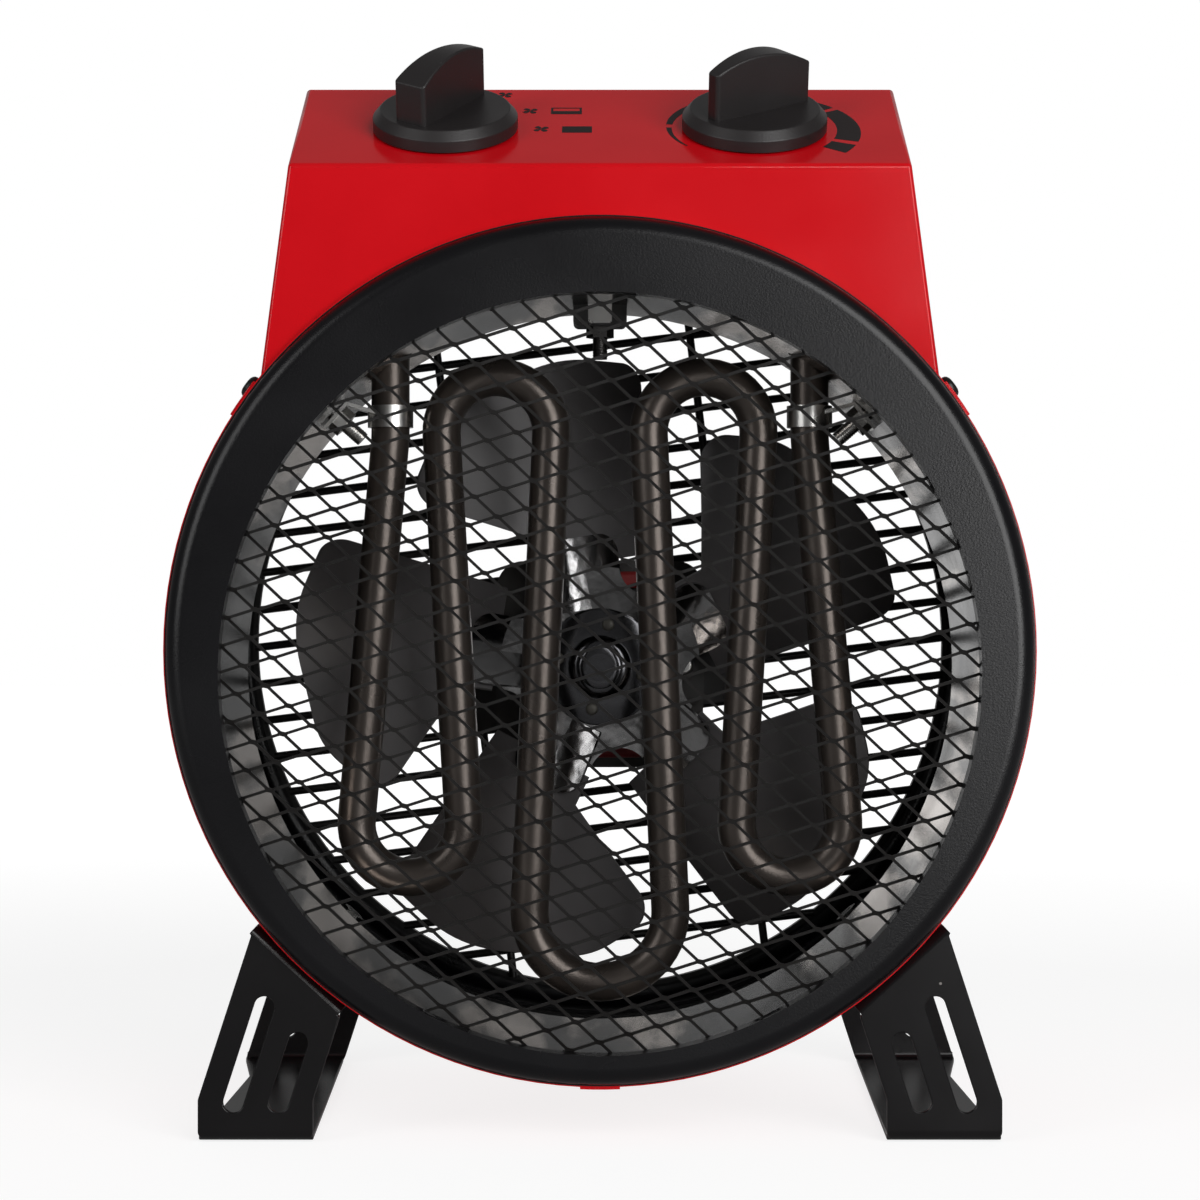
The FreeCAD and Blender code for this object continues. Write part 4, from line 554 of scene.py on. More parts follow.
def grown_mesh(tree, values, places=(), directions=()):
    """Plain mesh made by a tree whose named inputs have been set, on places with directions."""
    points = bpy.data.meshes.new("places")
    points.from_pydata([tuple(place) for place in places], [], [])
    if directions:
        outward = points.attributes.new("outward", "FLOAT_VECTOR", "POINT")
        for row, way in zip(outward.data, directions):
            row.vector = way
    carrier = linked_object("carrier", points)
    growth = carrier.modifiers.new("growth", "NODES")
    growth.node_group = tree
    for item in tree.interface.items_tree:
        if item.item_type == "SOCKET" and item.in_out == "INPUT" and item.name in values:
            growth[item.identifier] = values[item.name]
    grown = evaluated_mesh(carrier)
    bpy.data.objects.remove(carrier)
    return grown


set_on_places = placing_tree()


def screw_ways(node_name):
    """Head seat, outward direction and shank length of every screw in a CAD node."""
    ways = []
    for places in loose_pieces(node_name):
        centre = middle(places)
        if node_name == "cover_screws":
            outer = [place for place in places if abs(place.x) > abs(centre.x)]
            inner = [place for place in places if abs(place.x) <= abs(centre.x)]
            out = (middle(outer) - middle(inner)).normalized()
        else:
            out = Vector((centre.x, 0, centre.z - DRUM_AXIS.z)).normalized()
        reach = [(place - centre).dot(out) for place in places]
        seat = max(reach) - HEAD_HEIGHT
        ways.append((centre + out * seat, out, seat - min(reach)))
    return ways


for screw_node in ("foot_screws", "hood_screws", "cover_screws"):
    seats, outs, shanks = zip(*screw_ways(screw_node))
    screw = recessed_screw(max(shanks))
    screw_mesh = grown_mesh(set_on_places, {"Piece": screw, "Coat": screw_black}, seats, outs)
    bpy.data.objects.remove(screw)
    new_piece(screw_node + "_recessed", screw_mesh, "casing", "black_screw", screw_node)

# End rings: deep-pressed steel pans in satin black powder coat, which has a fine pebbled
# surface. The front ring carries the guard on its inner lip and the rear ring the bars.
BEND_CIRCLE = 0.1093
BEND_DEPTH = 0.071
BEND_OUTER = 0.005
BEND_INNER = 0.004
BEND_SLACK = 0.00005
ring_coat = grained_material(
    "ring_coat", deep=(0.0026, 0.0025, 0.0032), pale=(0.0042, 0.0040, 0.0050), metallic=0.0,
    scale=1800.0, roughness=(0.25, 0.31), bump=0.10, specular=0.3)
add_dust(ring_coat, scale=70.0, size=0.02, rarity=0.85)
dress(ring_coat, "front_ring", "rear_ring")


def round_bend_normals(node_name):
    """Give the corners on a ring's pressed bend the normals of a truly round bend."""
    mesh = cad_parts[node_name].data
    normals = [corner.vector.copy() for corner in mesh.corner_normals]
    for loop in mesh.loops:
        place = mesh.vertices[loop.vertex_index].co - DRUM_AXIS
        outward = Vector((place.x, 0, place.z)).normalized()
        bend_middle = outward * BEND_CIRCLE + Vector((0, math.copysign(BEND_DEPTH, place.y), 0))
        reach = place - bend_middle
        if abs(reach.length - BEND_OUTER) < BEND_SLACK:
            normals[loop.index] = reach.normalized()
        elif abs(reach.length - BEND_INNER) < BEND_SLACK:
            normals[loop.index] = -reach.normalized()
    mesh.normals_split_custom_set(normals)


for ring_node in ("front_ring", "rear_ring"):
    round_bend_normals(ring_node)

# Inner liner and its spacers: a sleeve of bright galvanised sheet whose colour carries painted
# reflections, grey-blue near-black and near-white streaks along it, with straw heat tint between, dulled in
# patches.
STREAKS_ROUND = 46.0
STREAKS_ALONG = 6.0
STREAK_DETAIL = 5.0
REFLECTION_DARK = 0.42
STREAK_MIDDLE = 0.5
REFLECTION_BRIGHT = 0.58
HEAT_STRAW = (0.090, 0.082, 0.074, 1.0)
# Painted reflection: the colour runs from near-black to near-white in streaks that stand for reflections in
# the metal; the straw middle shade is heat tint.
galvanised = grained_material(
    "galvanised", deep=(0.014, 0.015, 0.018), pale=(0.95, 0.86, 0.79), metallic=1.0,
    scale=900.0, roughness=(0.14, 0.24), bump=0.05)
liner_nodes = galvanised.node_tree.nodes
liner_links = galvanised.node_tree.links
liner_shades = liner_nodes["shades"].color_ramp.elements
liner_shades.new(STREAK_MIDDLE).color = HEAT_STRAW
liner_shades[0].position = REFLECTION_DARK
liner_shades[2].position = REFLECTION_BRIGHT
liner_place = liner_nodes.new("ShaderNodeTexCoord")
streak_stretch = liner_nodes.new("ShaderNodeMapping")
streak_stretch.inputs["Scale"].default_value = (STREAKS_ROUND, STREAKS_ALONG, STREAKS_ROUND)
liner_links.new(liner_place.outputs["Object"], streak_stretch.inputs["Vector"])
reflection_streaks = liner_nodes.new("ShaderNodeTexNoise")
set_inputs(reflection_streaks, {"Scale": 1.0, "Detail": STREAK_DETAIL})
liner_links.new(streak_stretch.outputs["Vector"], reflection_streaks.inputs["Vector"])
liner_links.new(reflection_streaks.outputs["Fac"], liner_nodes["shades"].inputs["Fac"])
dress(galvanised, "inner_liner", "liner_spacers")

# Motor: a laminated iron stack between two pressed bridges, with bronze bushes, a taped coil
# and a steel plate; the iron parts and the plate are coloured nearly black, as painted shade behind the
# fan.
LAMINATION_SCALE = 450.0
LAMINATION_STRENGTH = 0.6
LAMINATION_RELIEF = 0.0003
# Painted shade: the bridges, plate and rotor get a nearly black colour for the shade behind the fan.
shaded_motor_iron = grained_material(
    "shaded_motor_iron", deep=(0.030, 0.029, 0.029), pale=(0.055, 0.053, 0.052), metallic=0.7,
    scale=700.0, roughness=(0.34, 0.48), bump=0.06)
dress(shaded_motor_iron, "motor_bridges", "motor_plate", "motor_rotor")
# Painted shade: the stack is coloured nearly black for the same shade behind the fan.
shaded_stack_iron = grained_material(
    "shaded_stack_iron", deep=(0.034, 0.032, 0.031), pale=(0.060, 0.056, 0.053), metallic=0.6,
    scale=700.0, roughness=(0.40, 0.55), bump=0.06)
stack_nodes = shaded_stack_iron.node_tree.nodes
stack_links = shaded_stack_iron.node_tree.links
stack_place = stack_nodes.new("ShaderNodeTexCoord")
sheets = stack_nodes.new("ShaderNodeTexWave")
sheets.bands_direction = "Y"
sheets.inputs["Scale"].default_value = LAMINATION_SCALE
stack_links.new(stack_place.outputs["Object"], sheets.inputs["Vector"])
sheet_bump = stack_nodes.new("ShaderNodeBump")
set_inputs(sheet_bump, {"Strength": LAMINATION_STRENGTH, "Distance": LAMINATION_RELIEF})
stack_links.new(sheets.outputs["Fac"], sheet_bump.inputs["Height"])
stack_links.new(sheet_bump.outputs["Normal"], stack_nodes["Principled BSDF"].inputs["Normal"])
dress(shaded_stack_iron, "motor_stator")
plain_steel = grained_material(
    "plain_steel", deep=(0.30, 0.30, 0.31), pale=(0.42, 0.42, 0.43), metallic=1.0,
    scale=700.0, roughness=(0.26, 0.40), bump=0.06)
dress(plain_steel, "selector_spindle", "thermostat_spindle")
bush_bronze = grained_material(
    "bush_bronze", deep=(0.42, 0.26, 0.11), pale=(0.52, 0.34, 0.16), metallic=1.0,
    scale=900.0, roughness=(0.30, 0.45), bump=0.08)
dress(bush_bronze, "motor_bushes")
coil_tape = grained_material(
    "coil_tape", deep=(0.26, 0.012, 0.014), pale=(0.36, 0.020, 0.020), metallic=0.0,
    scale=900.0, roughness=(0.50, 0.65), bump=0.15)
dress(coil_tape, "motor_coil")

# Fan: five dull grey sheet blades, spot-welded to a bright zinc spider with scalloped arms, with painted
# highlights and dark reflections in its colour.
# Four rivets hold the spider to the flange of a turned boss on the motor's shaft.
SHAFT_RADIUS = 0.004
NOSE_RADIUS = 0.0062
NOSE_LENGTH = 0.006
DOME_RADIUS = 0.0092
DOME_RISE = 0.003
DOME_STEPS = 6
FLANGE_RADIUS = 0.017
FLANGE_DEPTH = 0.002
BOSS_ROUND = 0.0008
BOSS_CORNER = BOSS_ROUND * 0.3
BOSS_MERGE = 1e-6
RIVET_CIRCLE = 0.0124
RIVET_RADIUS = 0.0018
RIVET_RISE = 0.0005
RIVET_FIRST = math.radians(79)
RIVET_FOOT_SHARE = 0.9
RIVET_CURVE = ((0.86, 0.55), (0.5, 0.92))
blade_grey = grained_material(
    "blade_grey", deep=(0.062, 0.058, 0.059), pale=(0.088, 0.083, 0.084), metallic=0.15,
    scale=500.0, roughness=(0.36, 0.50), bump=0.05)
dress(blade_grey, "fan_blades")
# Painted highlights and reflections: the spider's colour swings from dark to bright zinc in broad patches.
spider_painted_glints = grained_material(
    "spider_painted_glints", deep=(0.14, 0.138, 0.14), pale=(0.56, 0.555, 0.555), metallic=1.0,
    scale=70.0, roughness=(0.08, 0.15), bump=0.8)
dress(spider_painted_glints, "fan_spider")
boss_steel = grained_material(
    "boss_steel", deep=(0.070, 0.070, 0.074), pale=(0.110, 0.110, 0.116), metallic=1.0,
    scale=400.0, roughness=(0.12, 0.20), bump=0.06)
dress(boss_steel, "motor_shaft")
boss_low, boss_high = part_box("fan_boss")
fan_height = (boss_low.z + boss_high.z) / 2
flange_front = boss_low.y + NOSE_LENGTH
boss_tail = flange_front - boss_high.y
boss_profile = [(SHAFT_RADIUS, NOSE_LENGTH), (NOSE_RADIUS - BOSS_ROUND, NOSE_LENGTH),
                (NOSE_RADIUS - BOSS_CORNER, NOSE_LENGTH - BOSS_CORNER),
                (NOSE_RADIUS, NOSE_LENGTH - BOSS_ROUND)]
for dome_step in range(DOME_STEPS + 1):
    dome_turn = math.pi / 2 * dome_step / DOME_STEPS
    dome_radius = NOSE_RADIUS + (DOME_RADIUS - NOSE_RADIUS) * math.sin(dome_turn)
    boss_profile.append((dome_radius, DOME_RISE * math.cos(dome_turn)))
boss_profile += [(FLANGE_RADIUS - BOSS_ROUND, 0), (FLANGE_RADIUS - BOSS_CORNER, -BOSS_CORNER),
                 (FLANGE_RADIUS, -BOSS_ROUND), (FLANGE_RADIUS, -FLANGE_DEPTH), (NOSE_RADIUS, -FLANGE_DEPTH),
                 (NOSE_RADIUS, boss_tail), (SHAFT_RADIUS, boss_tail), (SHAFT_RADIUS, NOSE_LENGTH)]
boss_shape = turned_shape(boss_profile)
bmesh.ops.remove_doubles(boss_shape, verts=boss_shape.verts, dist=BOSS_MERGE)
bmesh.ops.recalc_face_normals(boss_shape, faces=boss_shape.faces)
boss_mesh = plain_mesh(boss_shape, "turned_boss")
boss_mesh.materials.append(boss_steel)
boss_mesh.shade_smooth()
boss_mesh.set_sharp_from_angle(angle=SHARP_EDGE)
boss_place = Matrix.Translation((0, flange_front, fan_height))
boss_mesh.transform(boss_place @ Matrix.Rotation(math.radians(90), 4, "X"))
new_piece("turned_boss", boss_mesh, "fan", "zinc", "fan_boss")
rivet_brass = grained_material(
    "rivet_brass", deep=(0.055, 0.052, 0.044), pale=(0.085, 0.080, 0.068), metallic=0.4,
    scale=900.0, roughness=(0.40, 0.55), bump=0.06)
rivet_profile = [(0, -RIVET_RISE), (RIVET_RADIUS * RIVET_FOOT_SHARE, -RIVET_RISE), (RIVET_RADIUS, 0)]
rivet_profile += [(RIVET_RADIUS * across, RIVET_RISE * up) for across, up in RIVET_CURVE]
rivet_profile.append((0, RIVET_RISE))
rivet = linked_object("rivet", plain_mesh(turned_shape(rivet_profile), "rivet"))
rivet.data.shade_smooth()
rivet_places = []
for quarter in range(4):
    rivet_turn = RIVET_FIRST + quarter * math.pi / 2
    rivet_places.append(Vector((RIVET_CIRCLE * math.cos(rivet_turn), flange_front,
                                fan_height + RIVET_CIRCLE * math.sin(rivet_turn))))
rivet_ways = [Vector((0, -1, 0))] * len(rivet_places)
rivet_mesh = grown_mesh(set_on_places, {"Piece": rivet, "Coat": rivet_brass}, rivet_places, rivet_ways)
bpy.data.objects.remove(rivet)
new_piece("boss_rivets", rivet_mesh, "fan", "zinc")

# Heating element: one steel sheath rolled round wire and powder and bent into four loops,
# browned and dulled by heat, with a pale ceramic bush and a pin at each end.
element_sheath = grained_material(
    "element_sheath", deep=(0.058, 0.048, 0.042), pale=(0.090, 0.076, 0.067), metallic=0.70,
    scale=1100.0, roughness=(0.24, 0.34), bump=0.08)
dress(element_sheath, "heating_element")
bush_clay = grained_material(
    "bush_clay", deep=(0.68, 0.65, 0.60), pale=(0.76, 0.74, 0.70), metallic=0.0,
    scale=1500.0, roughness=(0.60, 0.80), bump=0.15)
dress(bush_clay, "element_bushes")

# Bright fixings inside: clips bent from zinc-plated strip round the element's ends, with long
# screws and nuts, the element's pins, the motor's bolts and the cut-out's hanging screw.
THREAD_LENGTH = 0.0055
THREAD_PITCH = 0.0007
THREAD_RISE = 0.00022
THREAD_SIDES = 3
THREAD_STEPS = 14
bright_zinc = grained_material(
    "bright_zinc", deep=(0.46, 0.45, 0.43), pale=(0.68, 0.67, 0.65), metallic=1.0,
    scale=600.0, roughness=(0.18, 0.34), bump=0.06)
dress(bright_zinc, "element_clips", "clip_screws", "clip_nuts", "foot_nuts", "element_pins",
      "switch_screws", "motor_bolts")
dull_zinc = grained_material(
    "dull_zinc", deep=(0.045, 0.043, 0.042), pale=(0.090, 0.086, 0.083), metallic=0.9,
    scale=600.0, roughness=(0.30, 0.45), bump=0.08)
dress(dull_zinc, "cutout_screw")


def thread_tree():
    """Geometry Nodes tree for the thread on one screw end: a ridge wound along Z from the origin."""
    sizes = [(label, "NodeSocketFloat") for label in ("Turns", "Radius", "Length", "Ridge")]
    tree = geometry_tree("screw_thread", sizes + [("Coat", "NodeSocketMaterial")])
    nodes = tree.nodes
    links = tree.links
    given = nodes.new("NodeGroupInput")
    path = nodes.new("GeometryNodeCurveSpiral")
    path.inputs["Resolution"].default_value = THREAD_STEPS
    links.new(given.outputs["Turns"], path.inputs["Rotations"])
    links.new(given.outputs["Radius"], path.inputs["Start Radius"])
    links.new(given.outputs["Radius"], path.inputs["End Radius"])
    links.new(given.outputs["Length"], path.inputs["Height"])
    ridge = nodes.new("GeometryNodeCurvePrimitiveCircle")
    ridge.inputs["Resolution"].default_value = THREAD_SIDES
    links.new(given.outputs["Ridge"], ridge.inputs["Radius"])
    wound = nodes.new("GeometryNodeCurveToMesh")
    wound.inputs["Fill Caps"].default_value = True
    links.new(path.outputs["Curve"], wound.inputs["Curve"])
    links.new(ridge.outputs["Curve"], wound.inputs["Profile Curve"])
    real = nodes.new("GeometryNodeRealizeInstances")
    links.new(wound.outputs["Mesh"], real.inputs["Geometry"])
    coat_and_output(tree, given, real.outputs["Geometry"])
    return tree


screw_thread = thread_tree()
for screw_node, coat in (("clip_screws", bright_zinc), ("cutout_screw", dull_zinc)):
    threads = bmesh.new()
    for long_screw in loose_pieces(screw_node):
        screw_middle = middle(long_screw)
        inward = Vector((-screw_middle.x, 0, DRUM_AXIS.z - screw_middle.z)).normalized()
        screw_tip = screw_middle + inward * max((place - screw_middle).dot(inward) for place in long_screw)
        ridge_mesh = grown_mesh(screw_thread, {
            "Turns": THREAD_LENGTH / THREAD_PITCH, "Radius": SHANK_RADIUS, "Length": THREAD_LENGTH,
            "Ridge": THREAD_RISE, "Coat": coat})
        along = inward.to_track_quat("Z", "Y").to_matrix().to_4x4()
        start = Matrix.Translation(screw_tip - inward * (THREAD_LENGTH + THREAD_PITCH))
        ridge_mesh.transform(start @ along)
        threads.from_mesh(ridge_mesh)
    thread_mesh = plain_mesh(threads, screw_node + "_threads")
    thread_mesh.materials.append(coat)
    new_piece(screw_node + "_threads", thread_mesh, "casing", "zinc")

# Thermal cut-out, switch, thermostat and terminal block: moulded cases, dark or cream, held by
# screws under the hood's panel and at the top of the duct. The cut-out has a bright metal cap.
CAP_SHARE = 0.44
CAP_LOW = 0.0007
CAP_HIGH = 0.0074
CAP_PROUD = 0.0005
CAP_EASE = 0.0004
CAP_EASE_STEPS = 2
dark_moulding = grained_material(
    "dark_moulding", deep=(0.020, 0.018, 0.018), pale=(0.030, 0.028, 0.027), metallic=0.0,
    scale=1300.0, roughness=(0.45, 0.60), bump=0.1)
dress(dark_moulding, "thermal_cutout", "selector_switch", "thermostat_body")
cutout_low, cutout_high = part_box("thermal_cutout")
cap_half = (cutout_high.x - cutout_low.x) * CAP_SHARE / 2
cap_shape = bmesh.new()
bmesh.ops.create_cube(cap_shape, size=1.0)
cap_size = Vector((2 * cap_half, 2 * CAP_PROUD, CAP_HIGH - CAP_LOW))
bmesh.ops.scale(cap_shape, vec=cap_size, verts=cap_shape.verts)
cap_middle = Vector(((cutout_low.x + cutout_high.x) / 2, cutout_low.y,
                     cutout_low.z + (CAP_LOW + CAP_HIGH) / 2))
bmesh.ops.translate(cap_shape, vec=cap_middle, verts=cap_shape.verts)
bmesh.ops.bevel(cap_shape, geom=cap_shape.edges, offset=CAP_EASE, segments=CAP_EASE_STEPS, affect="EDGES")
cap_mesh = plain_mesh(cap_shape, "cutout_cap")
cap_mesh.materials.append(bright_zinc)
new_piece("cutout_cap", cap_mesh, "casing", "zinc")
pale_moulding = grained_material(
    "pale_moulding", deep=(0.66, 0.64, 0.58), pale=(0.72, 0.70, 0.65), metallic=0.0,
    scale=900.0, roughness=(0.40, 0.55), bump=0.06)
dress(pale_moulding, "terminal_block")

# Front guard: expanded metal, slit and stretched from one steel sheet, so pairs of strands
# meet in short bonds and all lean one way. It is painted black and turned in its ring.
MESH_LONG = 0.0142
MESH_SHORT = 0.0076
MESH_STRAND = 0.00078
MESH_DEEP = 0.0009
MESH_TURN = math.radians(-12.8)
MESH_COLUMNS = 20
MESH_ROWS = 32
BOND_LENGTH = 0.0026
BOND_WIDTH = 0.00125
STRAND_LEAN = 0.35
START_ALONG = 0.3
START_ACROSS = 0.22
STRAND_END = 0.252
RIM_WIDTH = 0.004
RIM_STEPS = 96
guard_low, guard_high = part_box("mesh_guard")
guard_centre = (guard_low + guard_high) / 2
guard_radius = (guard_high.x - guard_low.x) / 2
guard_coat = grained_material(
    "guard_coat", deep=(0.0055, 0.0048, 0.0045), pale=(0.0090, 0.0080, 0.0074), metallic=0.0,
    scale=1500.0, roughness=(0.34, 0.46), bump=0.1, specular=0.4)
mesh_unit = bmesh.new()


def leaning_bar(start, end, width):
    """Strand from one place to another in the mesh's plane, leaning out towards its upper edge."""
    along = (end - start).normalized()
    across = Vector((-along.y, along.x, 0)) * (width / 2)
    if across.y < 0:
        across = -across
    lean = Vector((0, 0, across.y * STRAND_LEAN))
    deep = Vector((0, 0, MESH_DEEP / 2))
    corners = []
    for place in (start, end):
        for side in (-1, 1):
            for level in (-1, 1):
                corners.append(mesh_unit.verts.new(place + (across + lean) * side + deep * level))
    for face in ((0, 1, 3, 2), (4, 6, 7, 5), (0, 4, 5, 1), (2, 3, 7, 6), (0, 2, 6, 4), (1, 5, 7, 3)):
        mesh_unit.faces.new([corners[k] for k in face])


for side_u in (-1, 1):
    for side_v in (-1, 1):
        inner_end = Vector((side_u * BOND_LENGTH * START_ALONG, side_v * BOND_WIDTH * START_ACROSS, 0))
        outer_end = Vector((side_u * MESH_LONG * STRAND_END, side_v * MESH_SHORT * STRAND_END, 0))
        leaning_bar(inner_end, outer_end, MESH_STRAND)
leaning_bar(Vector((-BOND_LENGTH / 2, 0, 0)), Vector((BOND_LENGTH / 2, 0, 0)), BOND_WIDTH)
bmesh.ops.recalc_face_normals(mesh_unit, faces=mesh_unit.faces)
bond_piece = linked_object("mesh_bond", plain_mesh(mesh_unit, "mesh_bond"))

mesh_sizes = [(label, "NodeSocketFloat") for label in (
    "Long Pitch", "Short Pitch", "Rim Radius", "Rim Width", "Sheet", "Turn")]
expanded_mesh = geometry_tree("expanded_mesh", mesh_sizes + [
    ("Bond", "NodeSocketObject"), ("Centre", "NodeSocketVector"), ("Coat", "NodeSocketMaterial")])
mesh_nodes = expanded_mesh.nodes
mesh_links = expanded_mesh.links
mesh_given = mesh_nodes.new("NodeGroupInput")
long_pitch = mesh_given.outputs["Long Pitch"]
short_pitch = mesh_given.outputs["Short Pitch"]


def calculate(operation, first, second):
    """Math node on two values, each a socket or a number."""
    node = mesh_nodes.new("ShaderNodeMath")
    node.operation = operation
    for socket, value in zip(node.inputs, (first, second)):
        if isinstance(value, (int, float)):
            socket.default_value = value
        else:
            mesh_links.new(value, socket)
    return node.outputs["Value"]


bond_places = mesh_nodes.new("GeometryNodeJoinGeometry")
for offset in (0.0, 0.5):
    grid = mesh_nodes.new("GeometryNodeMeshGrid")
    set_inputs(grid, {"Vertices X": MESH_COLUMNS, "Vertices Y": MESH_ROWS})
    mesh_links.new(calculate("MULTIPLY", long_pitch, MESH_COLUMNS - 1), grid.inputs["Size X"])
    mesh_links.new(calculate("MULTIPLY", short_pitch, MESH_ROWS - 1), grid.inputs["Size Y"])
    shift = mesh_nodes.new("ShaderNodeCombineXYZ")
    mesh_links.new(calculate("MULTIPLY", long_pitch, offset), shift.inputs["X"])
    mesh_links.new(calculate("MULTIPLY", short_pitch, offset), shift.inputs["Y"])
    moved = mesh_nodes.new("GeometryNodeTransform")
    mesh_links.new(grid.outputs["Mesh"], moved.inputs["Geometry"])
    mesh_links.new(shift.outputs["Vector"], moved.inputs["Translation"])
    mesh_links.new(moved.outputs["Geometry"], bond_places.inputs["Geometry"])
bond_info = mesh_nodes.new("GeometryNodeObjectInfo")
mesh_links.new(mesh_given.outputs["Bond"], bond_info.inputs["Object"])
bonds = mesh_nodes.new("GeometryNodeInstanceOnPoints")
mesh_links.new(bond_places.outputs["Geometry"], bonds.inputs["Points"])
mesh_links.new(bond_info.outputs["Geometry"], bonds.inputs["Instance"])
real_bonds = mesh_nodes.new("GeometryNodeRealizeInstances")
mesh_links.new(bonds.outputs["Instances"], real_bonds.inputs["Geometry"])
mesh_place = mesh_nodes.new("GeometryNodeInputPosition")
from_middle = mesh_nodes.new("ShaderNodeVectorMath")
from_middle.operation = "LENGTH"
mesh_links.new(mesh_place.outputs["Position"], from_middle.inputs[0])
half_rim = calculate("MULTIPLY", mesh_given.outputs["Rim Width"], 0.5)
rim_middle = calculate("SUBTRACT", mesh_given.outputs["Rim Radius"], half_rim)
beyond = mesh_nodes.new("FunctionNodeCompare")
beyond.operation = "GREATER_THAN"
mesh_links.new(from_middle.outputs["Value"], beyond.inputs["A"])
mesh_links.new(rim_middle, beyond.inputs["B"])
trimmed = mesh_nodes.new("GeometryNodeDeleteGeometry")
trimmed.domain = "FACE"
mesh_links.new(real_bonds.outputs["Geometry"], trimmed.inputs["Geometry"])
mesh_links.new(beyond.outputs["Result"], trimmed.inputs["Selection"])
rim_path = mesh_nodes.new("GeometryNodeCurvePrimitiveCircle")
rim_path.inputs["Resolution"].default_value = RIM_STEPS
mesh_links.new(rim_middle, rim_path.inputs["Radius"])
rim_profile = mesh_nodes.new("GeometryNodeCurvePrimitiveQuadrilateral")
mesh_links.new(mesh_given.outputs["Rim Width"], rim_profile.inputs["Width"])
mesh_links.new(mesh_given.outputs["Sheet"], rim_profile.inputs["Height"])
rim = mesh_nodes.new("GeometryNodeCurveToMesh")
mesh_links.new(rim_path.outputs["Curve"], rim.inputs["Curve"])
mesh_links.new(rim_profile.outputs["Curve"], rim.inputs["Profile Curve"])
whole_guard = mesh_nodes.new("GeometryNodeJoinGeometry")
mesh_links.new(trimmed.outputs["Geometry"], whole_guard.inputs["Geometry"])
mesh_links.new(rim.outputs["Mesh"], whole_guard.inputs["Geometry"])
mesh_spin = mesh_nodes.new("ShaderNodeCombineXYZ")
mesh_links.new(mesh_given.outputs["Turn"], mesh_spin.inputs["Z"])
turned_guard = mesh_nodes.new("GeometryNodeTransform")
mesh_links.new(whole_guard.outputs["Geometry"], turned_guard.inputs["Geometry"])
mesh_links.new(mesh_spin.outputs["Vector"], turned_guard.inputs["Rotation"])
upright_guard = mesh_nodes.new("GeometryNodeTransform")
upright_guard.inputs["Rotation"].default_value = (math.radians(90), 0, 0)
mesh_links.new(turned_guard.outputs["Geometry"], upright_guard.inputs["Geometry"])
mesh_links.new(mesh_given.outputs["Centre"], upright_guard.inputs["Translation"])
coat_and_output(expanded_mesh, mesh_given, upright_guard.outputs["Geometry"])
guard_mesh = grown_mesh(expanded_mesh, {
    "Bond": bond_piece, "Long Pitch": MESH_LONG, "Short Pitch": MESH_SHORT, "Rim Radius": guard_radius,
    "Rim Width": RIM_WIDTH, "Sheet": guard_high.y - guard_low.y, "Turn": MESH_TURN, "Centre": guard_centre,
    "Coat": guard_coat})
bpy.data.objects.remove(bond_piece)
new_piece("expanded_guard", guard_mesh, "casing", "black_mesh_paint", "mesh_guard")

# Rear guard: straight round bars of drawn steel, welded across a flat rim and two cross bars
# that carry the motor's plate, and painted black like the front guard.
dress(guard_coat, "rear_guard")

# Control hood and its rear cover: steel sheet folded with small bends and spot-welded at the
# corners, in the drum's red enamel. Tabs along its sides are screwed to the drum.
FOLD_EASE = 0.0009
FOLD_AREA = 0.0008
FOLD_CUT_SHARE = 0.22
FOLD_STEPS = 3
for hood_node in ("control_hood", "hood_back"):
    eased_copy(hood_node, FOLD_EASE, FOLD_STEPS, red_enamel, "casing", "red_paint",
               FOLD_AREA, FOLD_CUT_SHARE)

# Printed marks on the panel: dark screen-printed ink with a fan sign and a bar for each
# setting of the selector, and a growing crescent round the thermostat's knob.
PANEL_EDGE = Vector((0.0, -0.068, 0.2585))
PANEL_RISE = 28.4
PANEL_RUN = 50.0
PANEL_TILT = math.atan2(PANEL_RISE, PANEL_RUN)
MARK_ORIGIN_MM = 28.75
INK_PROUD = 0.00005
INK_SUNK = 0.00005
MM = 0.001
THERMOSTAT_U = 42.0
THERMOSTAT_V = -2.3
ARC_STEP = math.radians(4)
CRESCENT_PARTS = ((215, 178), (172, 36), (32, -20), (-25, -38))
CRESCENT_START = math.radians(215)
CRESCENT_SPAN = math.radians(253)
CRESCENT_INNER = 22.5
CRESCENT_OUTER = 23.0
CRESCENT_GROWTH = 6.8
FAN_SIGNS = ((-26.6, 24.4), (-19.3, 11.5), (-16.0, -2.6))
FAN_SIGN_SIZE = 2.2
FAN_SIGN_TURN = math.radians(45)
FAN_SIGN_BLADE = ((0.10, -0.10), (0.45, -0.44), (0.92, -0.44), (1.05, 0.0), (0.85, 0.28), (0.10, 0.10))
FULL_BAR = (-10.3, -2.2, -5.4, -0.6)
HALF_BAR_LEFT = -13.5
HALF_BAR_RIGHT = -5.0
HALF_BAR_LOW = 9.0
HALF_BAR_FILL = 11.4
HALF_BAR_HIGH = 14.1
BAR_LINE = 0.6
panel_up = Vector((0, math.cos(PANEL_TILT), math.sin(PANEL_TILT)))
panel_out = Vector((0, -math.sin(PANEL_TILT), math.cos(PANEL_TILT)))
marks = bmesh.new()


def on_panel(u, v, lift):
    """Place on the panel: u across and v up it in millimetres from between the knobs' axes."""
    return PANEL_EDGE + Vector((u * MM, 0, 0)) + panel_up * ((v + MARK_ORIGIN_MM) * MM) + panel_out * lift


def print_mark(corners):
    """Thin patch of ink through corners (u, v)."""
    top = [marks.verts.new(on_panel(u, v, INK_PROUD)) for u, v in corners]
    low = [marks.verts.new(on_panel(u, v, -INK_SUNK)) for u, v in corners]
    marks.faces.new(top)
    marks.faces.new(low[::-1])
    for k in range(len(corners)):
        marks.faces.new((low[k - 1], low[k], top[k], top[k - 1]))


def print_bar(left, right, low, high):
    """Filled rectangle of ink."""
    print_mark([(left, low), (right, low), (right, high), (left, high)])


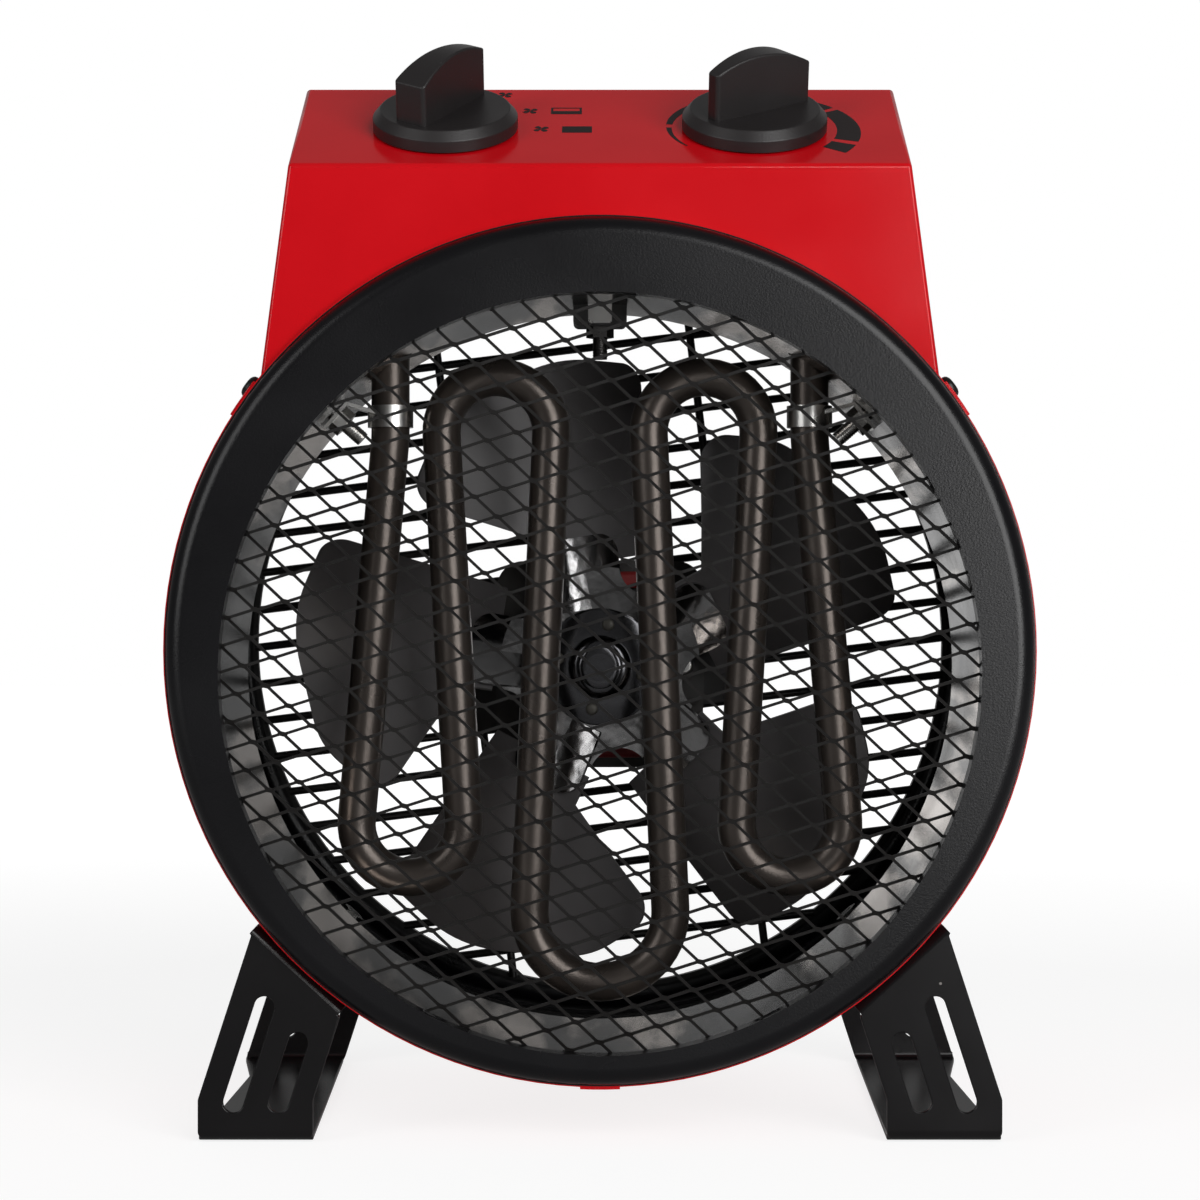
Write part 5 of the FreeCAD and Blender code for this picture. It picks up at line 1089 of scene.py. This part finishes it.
def print_crescent(start_degrees, end_degrees):
    """Part of the crescent round the thermostat, whose outer radius grows from start to end."""
    start = math.radians(start_degrees)
    end = math.radians(end_degrees)
    steps = max(2, int(abs(end - start) / ARC_STEP))
    inner = []
    outer = []
    for k in range(steps + 1):
        turn = start + (end - start) * k / steps
        share = (CRESCENT_START - turn) / CRESCENT_SPAN
        for arc, radius in ((inner, CRESCENT_INNER), (outer, CRESCENT_OUTER + CRESCENT_GROWTH * share)):
            arc.append((THERMOSTAT_U + radius * math.cos(turn), THERMOSTAT_V + radius * math.sin(turn)))
    print_mark(outer[::-1] + inner)


def print_fan(centre_u, centre_v, size):
    """Small sign of a fan with four blades."""
    for quarter in range(4):
        turn = quarter * math.pi / 2 + FAN_SIGN_TURN
        corners = []
        for reach, side in FAN_SIGN_BLADE:
            u = centre_u + size * (reach * math.cos(turn) - side * math.sin(turn))
            v = centre_v + size * (reach * math.sin(turn) + side * math.cos(turn))
            corners.append((u, v))
        print_mark(corners)


for sign_u, sign_v in FAN_SIGNS:
    print_fan(sign_u, sign_v, FAN_SIGN_SIZE)
print_bar(HALF_BAR_LEFT, HALF_BAR_RIGHT, HALF_BAR_LOW, HALF_BAR_FILL)
frame_left = HALF_BAR_LEFT + BAR_LINE
frame_right = HALF_BAR_RIGHT - BAR_LINE
frame_top = HALF_BAR_HIGH - BAR_LINE
print_mark([(HALF_BAR_LEFT, HALF_BAR_FILL), (frame_left, HALF_BAR_FILL), (frame_left, frame_top),
            (frame_right, frame_top), (frame_right, HALF_BAR_FILL), (HALF_BAR_RIGHT, HALF_BAR_FILL),
            (HALF_BAR_RIGHT, HALF_BAR_HIGH), (HALF_BAR_LEFT, HALF_BAR_HIGH)])
print_bar(*FULL_BAR)
for arc_start, arc_end in CRESCENT_PARTS:
    print_crescent(arc_start, arc_end)
bmesh.ops.recalc_face_normals(marks, faces=marks.faces)
mark_mesh = plain_mesh(marks, "panel_marks")
print_ink = grained_material(
    "print_ink", deep=(0.012, 0.008, 0.008), pale=(0.018, 0.012, 0.012), metallic=0.0,
    scale=1500.0, roughness=(0.40, 0.50), bump=0.05, specular=0.15)
mark_mesh.materials.append(print_ink)
new_piece("panel_marks", mark_mesh, "casing", "black_plastic")

# Knobs and cord inlet: moulded black plastic with a fine spark-eroded grain and soft edges.
# Each knob is a skirt with an arched grip across it, pushed on its spindle.
knob_plastic = grained_material(
    "knob_plastic", deep=(0.0125, 0.0106, 0.0108), pale=(0.0175, 0.0152, 0.0155), metallic=0.0,
    scale=2400.0, roughness=(0.36, 0.46), bump=0.12, specular=0.45)
add_dust(knob_plastic, scale=260.0, size=0.03, rarity=0.9)
dress(knob_plastic, "selector_knob", "thermostat_knob", "cable_gland", "gland_nut")
